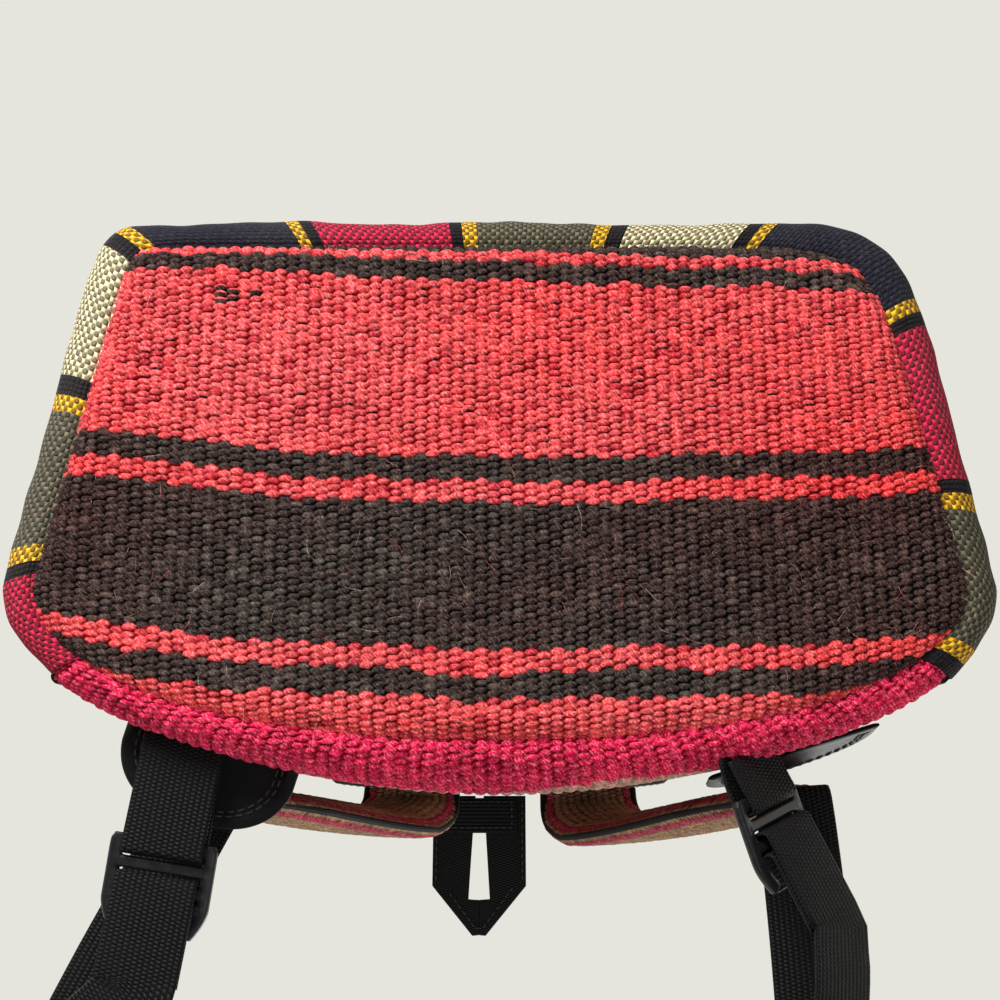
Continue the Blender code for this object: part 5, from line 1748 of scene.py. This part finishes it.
def makeHandle():  # webbing folded to a mitred point
    shape = handleShape
    half = shape["thick"] / 2
    upper = half * 0.9
    foldTop = upper + shape["foldThick"]
    patchLow = -half - shape["patchThick"]
    z = mixed(padShape["yokeBottom"], padShape["yokeTop"], shape["rootHeight"])
    y = backY(0.0, z, 0.0013) + padShape["yokeThick"] + 2 * gaps["moving"] + half
    droop = Matrix.Rotation(math.radians(-shape["droop"]), 4, "X")
    spot = Matrix.Translation((yokeShape["handleX"], y, z)) @ droop
    normal = np.array(spot.to_3x3() @ Vector((0.0, 0.0, 1.0)))
    length = shape["length"]
    shoulder = length - shape["point"]
    wide = shape["half"]
    slit = shape["slitEnd"] / 2
    slitTop = shape["slitLength"]

    def layer(name, outline, low, high, tilt, nodes=()):  # flat piece of webbing, its weave turned by tilt
        count = len(outline)
        shapeMesh = bmesh.new()
        a = [shapeMesh.verts.new((px, py, low)) for px, py in outline]
        b = [shapeMesh.verts.new((px, py, high)) for px, py in outline]
        shapeMesh.faces.new(a[::-1])
        shapeMesh.faces.new(b)
        for k in range(count):
            shapeMesh.faces.new([a[k], a[(k + 1) % count], b[(k + 1) % count], b[k]])
        edges = list(shapeMesh.edges)
        bmesh.ops.bevel(shapeMesh, geom=edges, offset=shape["soft"], segments=2, affect="EDGES", profile=0.6)
        bmesh.ops.triangulate(shapeMesh, faces=[f for f in shapeMesh.faces if len(f.verts) > 4])
        mesh = bpy.data.meshes.new(name)
        shapeMesh.to_mesh(mesh)
        shapeMesh.free()
        thing = bpy.data.objects.new(name, mesh)
        scene.collection.objects.link(thing)
        flat = np.array([v.co for v in mesh.vertices])
        c, s = math.cos(tilt), math.sin(tilt)
        giveUv(thing, "strapPlace", flat[:, 0] * c + flat[:, 1] * s, -flat[:, 0] * s + flat[:, 1] * c)
        mesh.transform(spot)
        dress(thing, "handle", "black_webbing", nodes)

    def row(name, line, level, face):  # stitches on the upper or the under side
        places = [np.array(spot @ Vector((px, py, level))) for px, py in line]
        stitchRow(name, places, [normal * face] * len(places), "handle")

    leg = [
        (wide, 0.0), (wide, shoulder), (wide * 0.14, length), (0.0, length - 0.0004),
        (0.0, slitTop), (slit, slitTop), (shape["slitRoot"] / 2, 0.0),
    ]
    layer("grabHandle", leg, -half, upper, 0.0, ["grab_handle"])
    layer("grabHandleLeg", [(-px, py) for px, py in reversed(leg)], -half, upper, 0.0)
    fold = [
        (wide * 0.98, shoulder - 0.001), (wide * 0.13, length - 0.0006),
        (-wide * 0.13, length - 0.0006), (-wide * 0.98, shoulder - 0.001),
        (-slit - 0.001, slitTop + 0.0004), (slit + 0.001, slitTop + 0.0004),
    ]
    layer("grabHandleFold", fold, upper, foldTop, math.radians(45.0))
    patch = boxCorners(-wide * 0.80, 0.0015, wide * 0.80, shape["patch"])[:-1]
    layer("grabHandlePatch", patch, patchLow, -half + 0.0001, math.radians(90.0))
    box = boxCorners(-wide * 0.7, 0.004, wide * 0.7, shape["patch"] - 0.003)
    row("handlePatchStitch", cornerLine(box, 14), patchLow, -1.0)
    for sign, tag in ((-1.0, "Left"), (1.0, "Right")):
        line = [(sign * (wide - shape["seam"]), mixed(0.004, shoulder - 0.002, i / 30)) for i in range(31)]
        row("handle" + tag + "Upper", line, upper, 1.0)
        row("handle" + tag + "Under", line, -half, -1.0)
    point = [(wide * 0.72, shoulder + 0.001), (wide * 0.08, length - 0.004)]
    point += [(-px, py) for px, py in reversed(point)]
    row("handlePointUpper", cornerLine(point, 12), foldTop, 1.0)
    row("handlePointUnder", cornerLine(point, 12), -half, -1.0)


makeTab("left")
makeTab("right")
makeYoke()
makeHandle()
print("tabs, yoke and handle done")


# loose wool fibres on the rug

fuzzLook = {
    "count": 700, "length": (0.004, 0.013), "radius": 0.00006, "seed": 7, "lift": 0.0003, "arch": 0.0006,
    "tints": [tone(236, 150, 140), tone(240, 205, 190), tone(200, 60, 66), tone(96, 74, 66)],
}


def makeFuzz():
    luck = np.random.RandomState(fuzzLook["seed"])
    points = []
    faces = []
    tints = []
    choices = fuzzLook["tints"]
    base = np.array([v.co for v in baseRug.data.vertices])
    normals = np.array([v.normal for v in baseRug.data.vertices])
    picks = luck.randint(0, len(base), fuzzLook["count"])
    for pick in picks:
        start = base[pick]
        normal = normals[pick]
        way = np.cross(normal, luck.normal(size=3))
        way /= np.linalg.norm(way)
        bend = np.cross(normal, way) * luck.uniform(-0.9, 0.9)
        length = luck.uniform(*fuzzLook["length"])
        first = len(points)
        colour = choices[luck.randint(len(choices))]
        for j in range(6):
            t = j / 5
            rise = fuzzLook["lift"] + fuzzLook["arch"] * math.sin(math.pi * t)
            here = start + (way * t + bend * t * t) * length + normal * rise
            here[2] = max(here[2], 0.0)
            for k in range(3):
                a = 2 * math.pi * k / 3
                spoke = math.cos(a) * normal + math.sin(a) * np.cross(way, normal)
                points.append(here + fuzzLook["radius"] * (1.0 - 0.5 * t) * spoke)
                tints.append(colour)
        faces += (gridFaces(6, 3, True) + first).tolist()
    thing = meshPiece("rugFibres", points, faces)
    giveBeads(thing, tints, np.ones(len(points)))
    return dress(thing, "bag", "coral_rug")


makeFuzz()
print("fibres done")


# floor, light and camera

stageLook = {
    "floor": tone(229, 228, 220), "sky": tone(230, 229, 221), "light": 0.40, "level": -0.0006,
    "radius": 30, "fade": (0.45, 1.7), "shadowReach": 0.10,
}


def makeFloor():
    sides = 96
    turns = [2 * math.pi * k / sides for k in range(sides)]
    radius = stageLook["radius"]
    rim = [(radius * math.cos(a), radius * math.sin(a), stageLook["level"]) for a in turns]
    floor = meshPiece("floor", rim, [list(range(sides))])
    material, tree, shader = newMaterial("paleFloor")
    near = tree.nodes.new("ShaderNodeAmbientOcclusion")  # painted contact shadow: ambient occlusion darkens the floor where the bag stands
    near.inputs["Distance"].default_value = stageLook["shadowReach"]
    near.samples = 6
    paintedContactShadow = spread(tree, near.outputs["AO"], 0.45, 1.0, 0.10, 1.0)
    shade = maths(tree, "MULTIPLY", paintedContactShadow, spread(tree, grain(tree, 3.0, 2.0), 0.3, 0.7, 0.98, 1.0))
    tree.links.new(mixColour(tree, 1.0, stageLook["floor"], shade, "MULTIPLY"), shader.inputs["Base Color"])
    shader.inputs["Roughness"].default_value = 0.9
    shader.inputs["Specular IOR Level"].default_value = 0.1
    place = tree.nodes.new("ShaderNodeTexCoord").outputs["Object"]
    reach = tree.nodes.new("ShaderNodeVectorMath")
    reach.operation = "LENGTH"
    tree.links.new(place, reach.inputs[0])
    far = tree.nodes.new("ShaderNodeEmission")  # melts into the backdrop far from the bag
    far.inputs[0].default_value = stageLook["sky"]
    fading = tree.nodes.new("ShaderNodeMixShader")
    tree.links.new(spread(tree, reach.outputs["Value"], *stageLook["fade"], 0.0, 1.0), fading.inputs[0])
    tree.links.new(shader.outputs[0], fading.inputs[1])
    tree.links.new(far.outputs[0], fading.inputs[2])
    clear = tree.nodes.new("ShaderNodeBsdfTransparent")
    under = tree.nodes.new("ShaderNodeNewGeometry")
    choose = tree.nodes.new("ShaderNodeMixShader")
    tree.links.new(under.outputs["Backfacing"], choose.inputs[0])
    tree.links.new(fading.outputs[0], choose.inputs[1])
    tree.links.new(clear.outputs[0], choose.inputs[2])
    tree.links.new(choose.outputs[0], tree.nodes["Material Output"].inputs[0])
    floor.data.materials.append(material)
    floor.visible_diffuse = False
    floor.visible_shadow = False


def makeWorld():
    world = bpy.data.worlds.new("paleStudio")
    scene.world = world
    world.use_nodes = True
    tree = world.node_tree
    back = tree.nodes["Background"]
    seen = tree.nodes.new("ShaderNodeBackground")
    back.inputs[0].default_value = (1.0, 0.99, 0.975, 1.0)
    back.inputs[1].default_value = stageLook["light"]
    seen.inputs[0].default_value = stageLook["sky"]
    path = tree.nodes.new("ShaderNodeLightPath")
    mirrored = maths(tree, "MAXIMUM", path.outputs["Is Glossy Ray"], path.outputs["Is Transmission Ray"])
    direct = maths(tree, "MAXIMUM", path.outputs["Is Camera Ray"], mirrored)
    choose = tree.nodes.new("ShaderNodeMixShader")
    tree.links.new(direct, choose.inputs[0])
    tree.links.new(back.outputs[0], choose.inputs[1])
    tree.links.new(seen.outputs[0], choose.inputs[2])
    tree.links.new(choose.outputs[0], tree.nodes["World Output"].inputs[0])


lamps = {  # place, aim, size and power
    "keyBelow": ((-0.52, -0.66, -0.66), (-0.06, 0.0, 0.0), 0.48, 17.6),
    "fillBelow": ((0.2, 0.60, -1.2), (0.0, 0.05, 0.0), 1.0, 6.0),
    "keyAbove": ((-1.0, -1.3, 1.7), (0.0, 0.0, 0.2), 1.0, 26.0),
    "fillAbove": ((1.2, 1.2, 1.5), (0.0, 0.0, 0.2), 1.2, 18.0),
}


def makeLamp(name, place, aim, size, power):
    data = bpy.data.lights.new(name, "AREA")
    data.shape = "DISK"
    data.size = size
    data.energy = power
    lamp = bpy.data.objects.new(name, data)
    lamp.location = place
    lamp.rotation_euler = (Vector(aim) - Vector(place)).to_track_quat("-Z", "Y").to_euler()
    scene.collection.objects.link(lamp)


cameraLook = {"lens": 56.88, "sensor": 36.0, "near": 0.01, "tilt": 15.0, "distance": 0.6}


def makeCamera():  # below the bag, looking up at its base
    data = bpy.data.cameras.new("camera")
    data.lens = cameraLook["lens"]
    data.sensor_width = cameraLook["sensor"]
    data.clip_start = cameraLook["near"]
    camera = bpy.data.objects.new("camera", data)
    tilt = math.radians(cameraLook["tilt"])
    look = Vector((0.0, -math.sin(tilt), math.cos(tilt)))
    up = Vector((0.0, -math.cos(tilt), -math.sin(tilt)))
    turn = Matrix((Vector((1.0, 0.0, 0.0)), up, -look)).transposed()
    camera.matrix_world = Matrix.Translation(-look * cameraLook["distance"]) @ turn.to_4x4()
    scene.collection.objects.link(camera)
    scene.camera = camera


makeFloor()
makeWorld()
for name, values in lamps.items():
    makeLamp(name, *values)
makeCamera()
print("stage done")
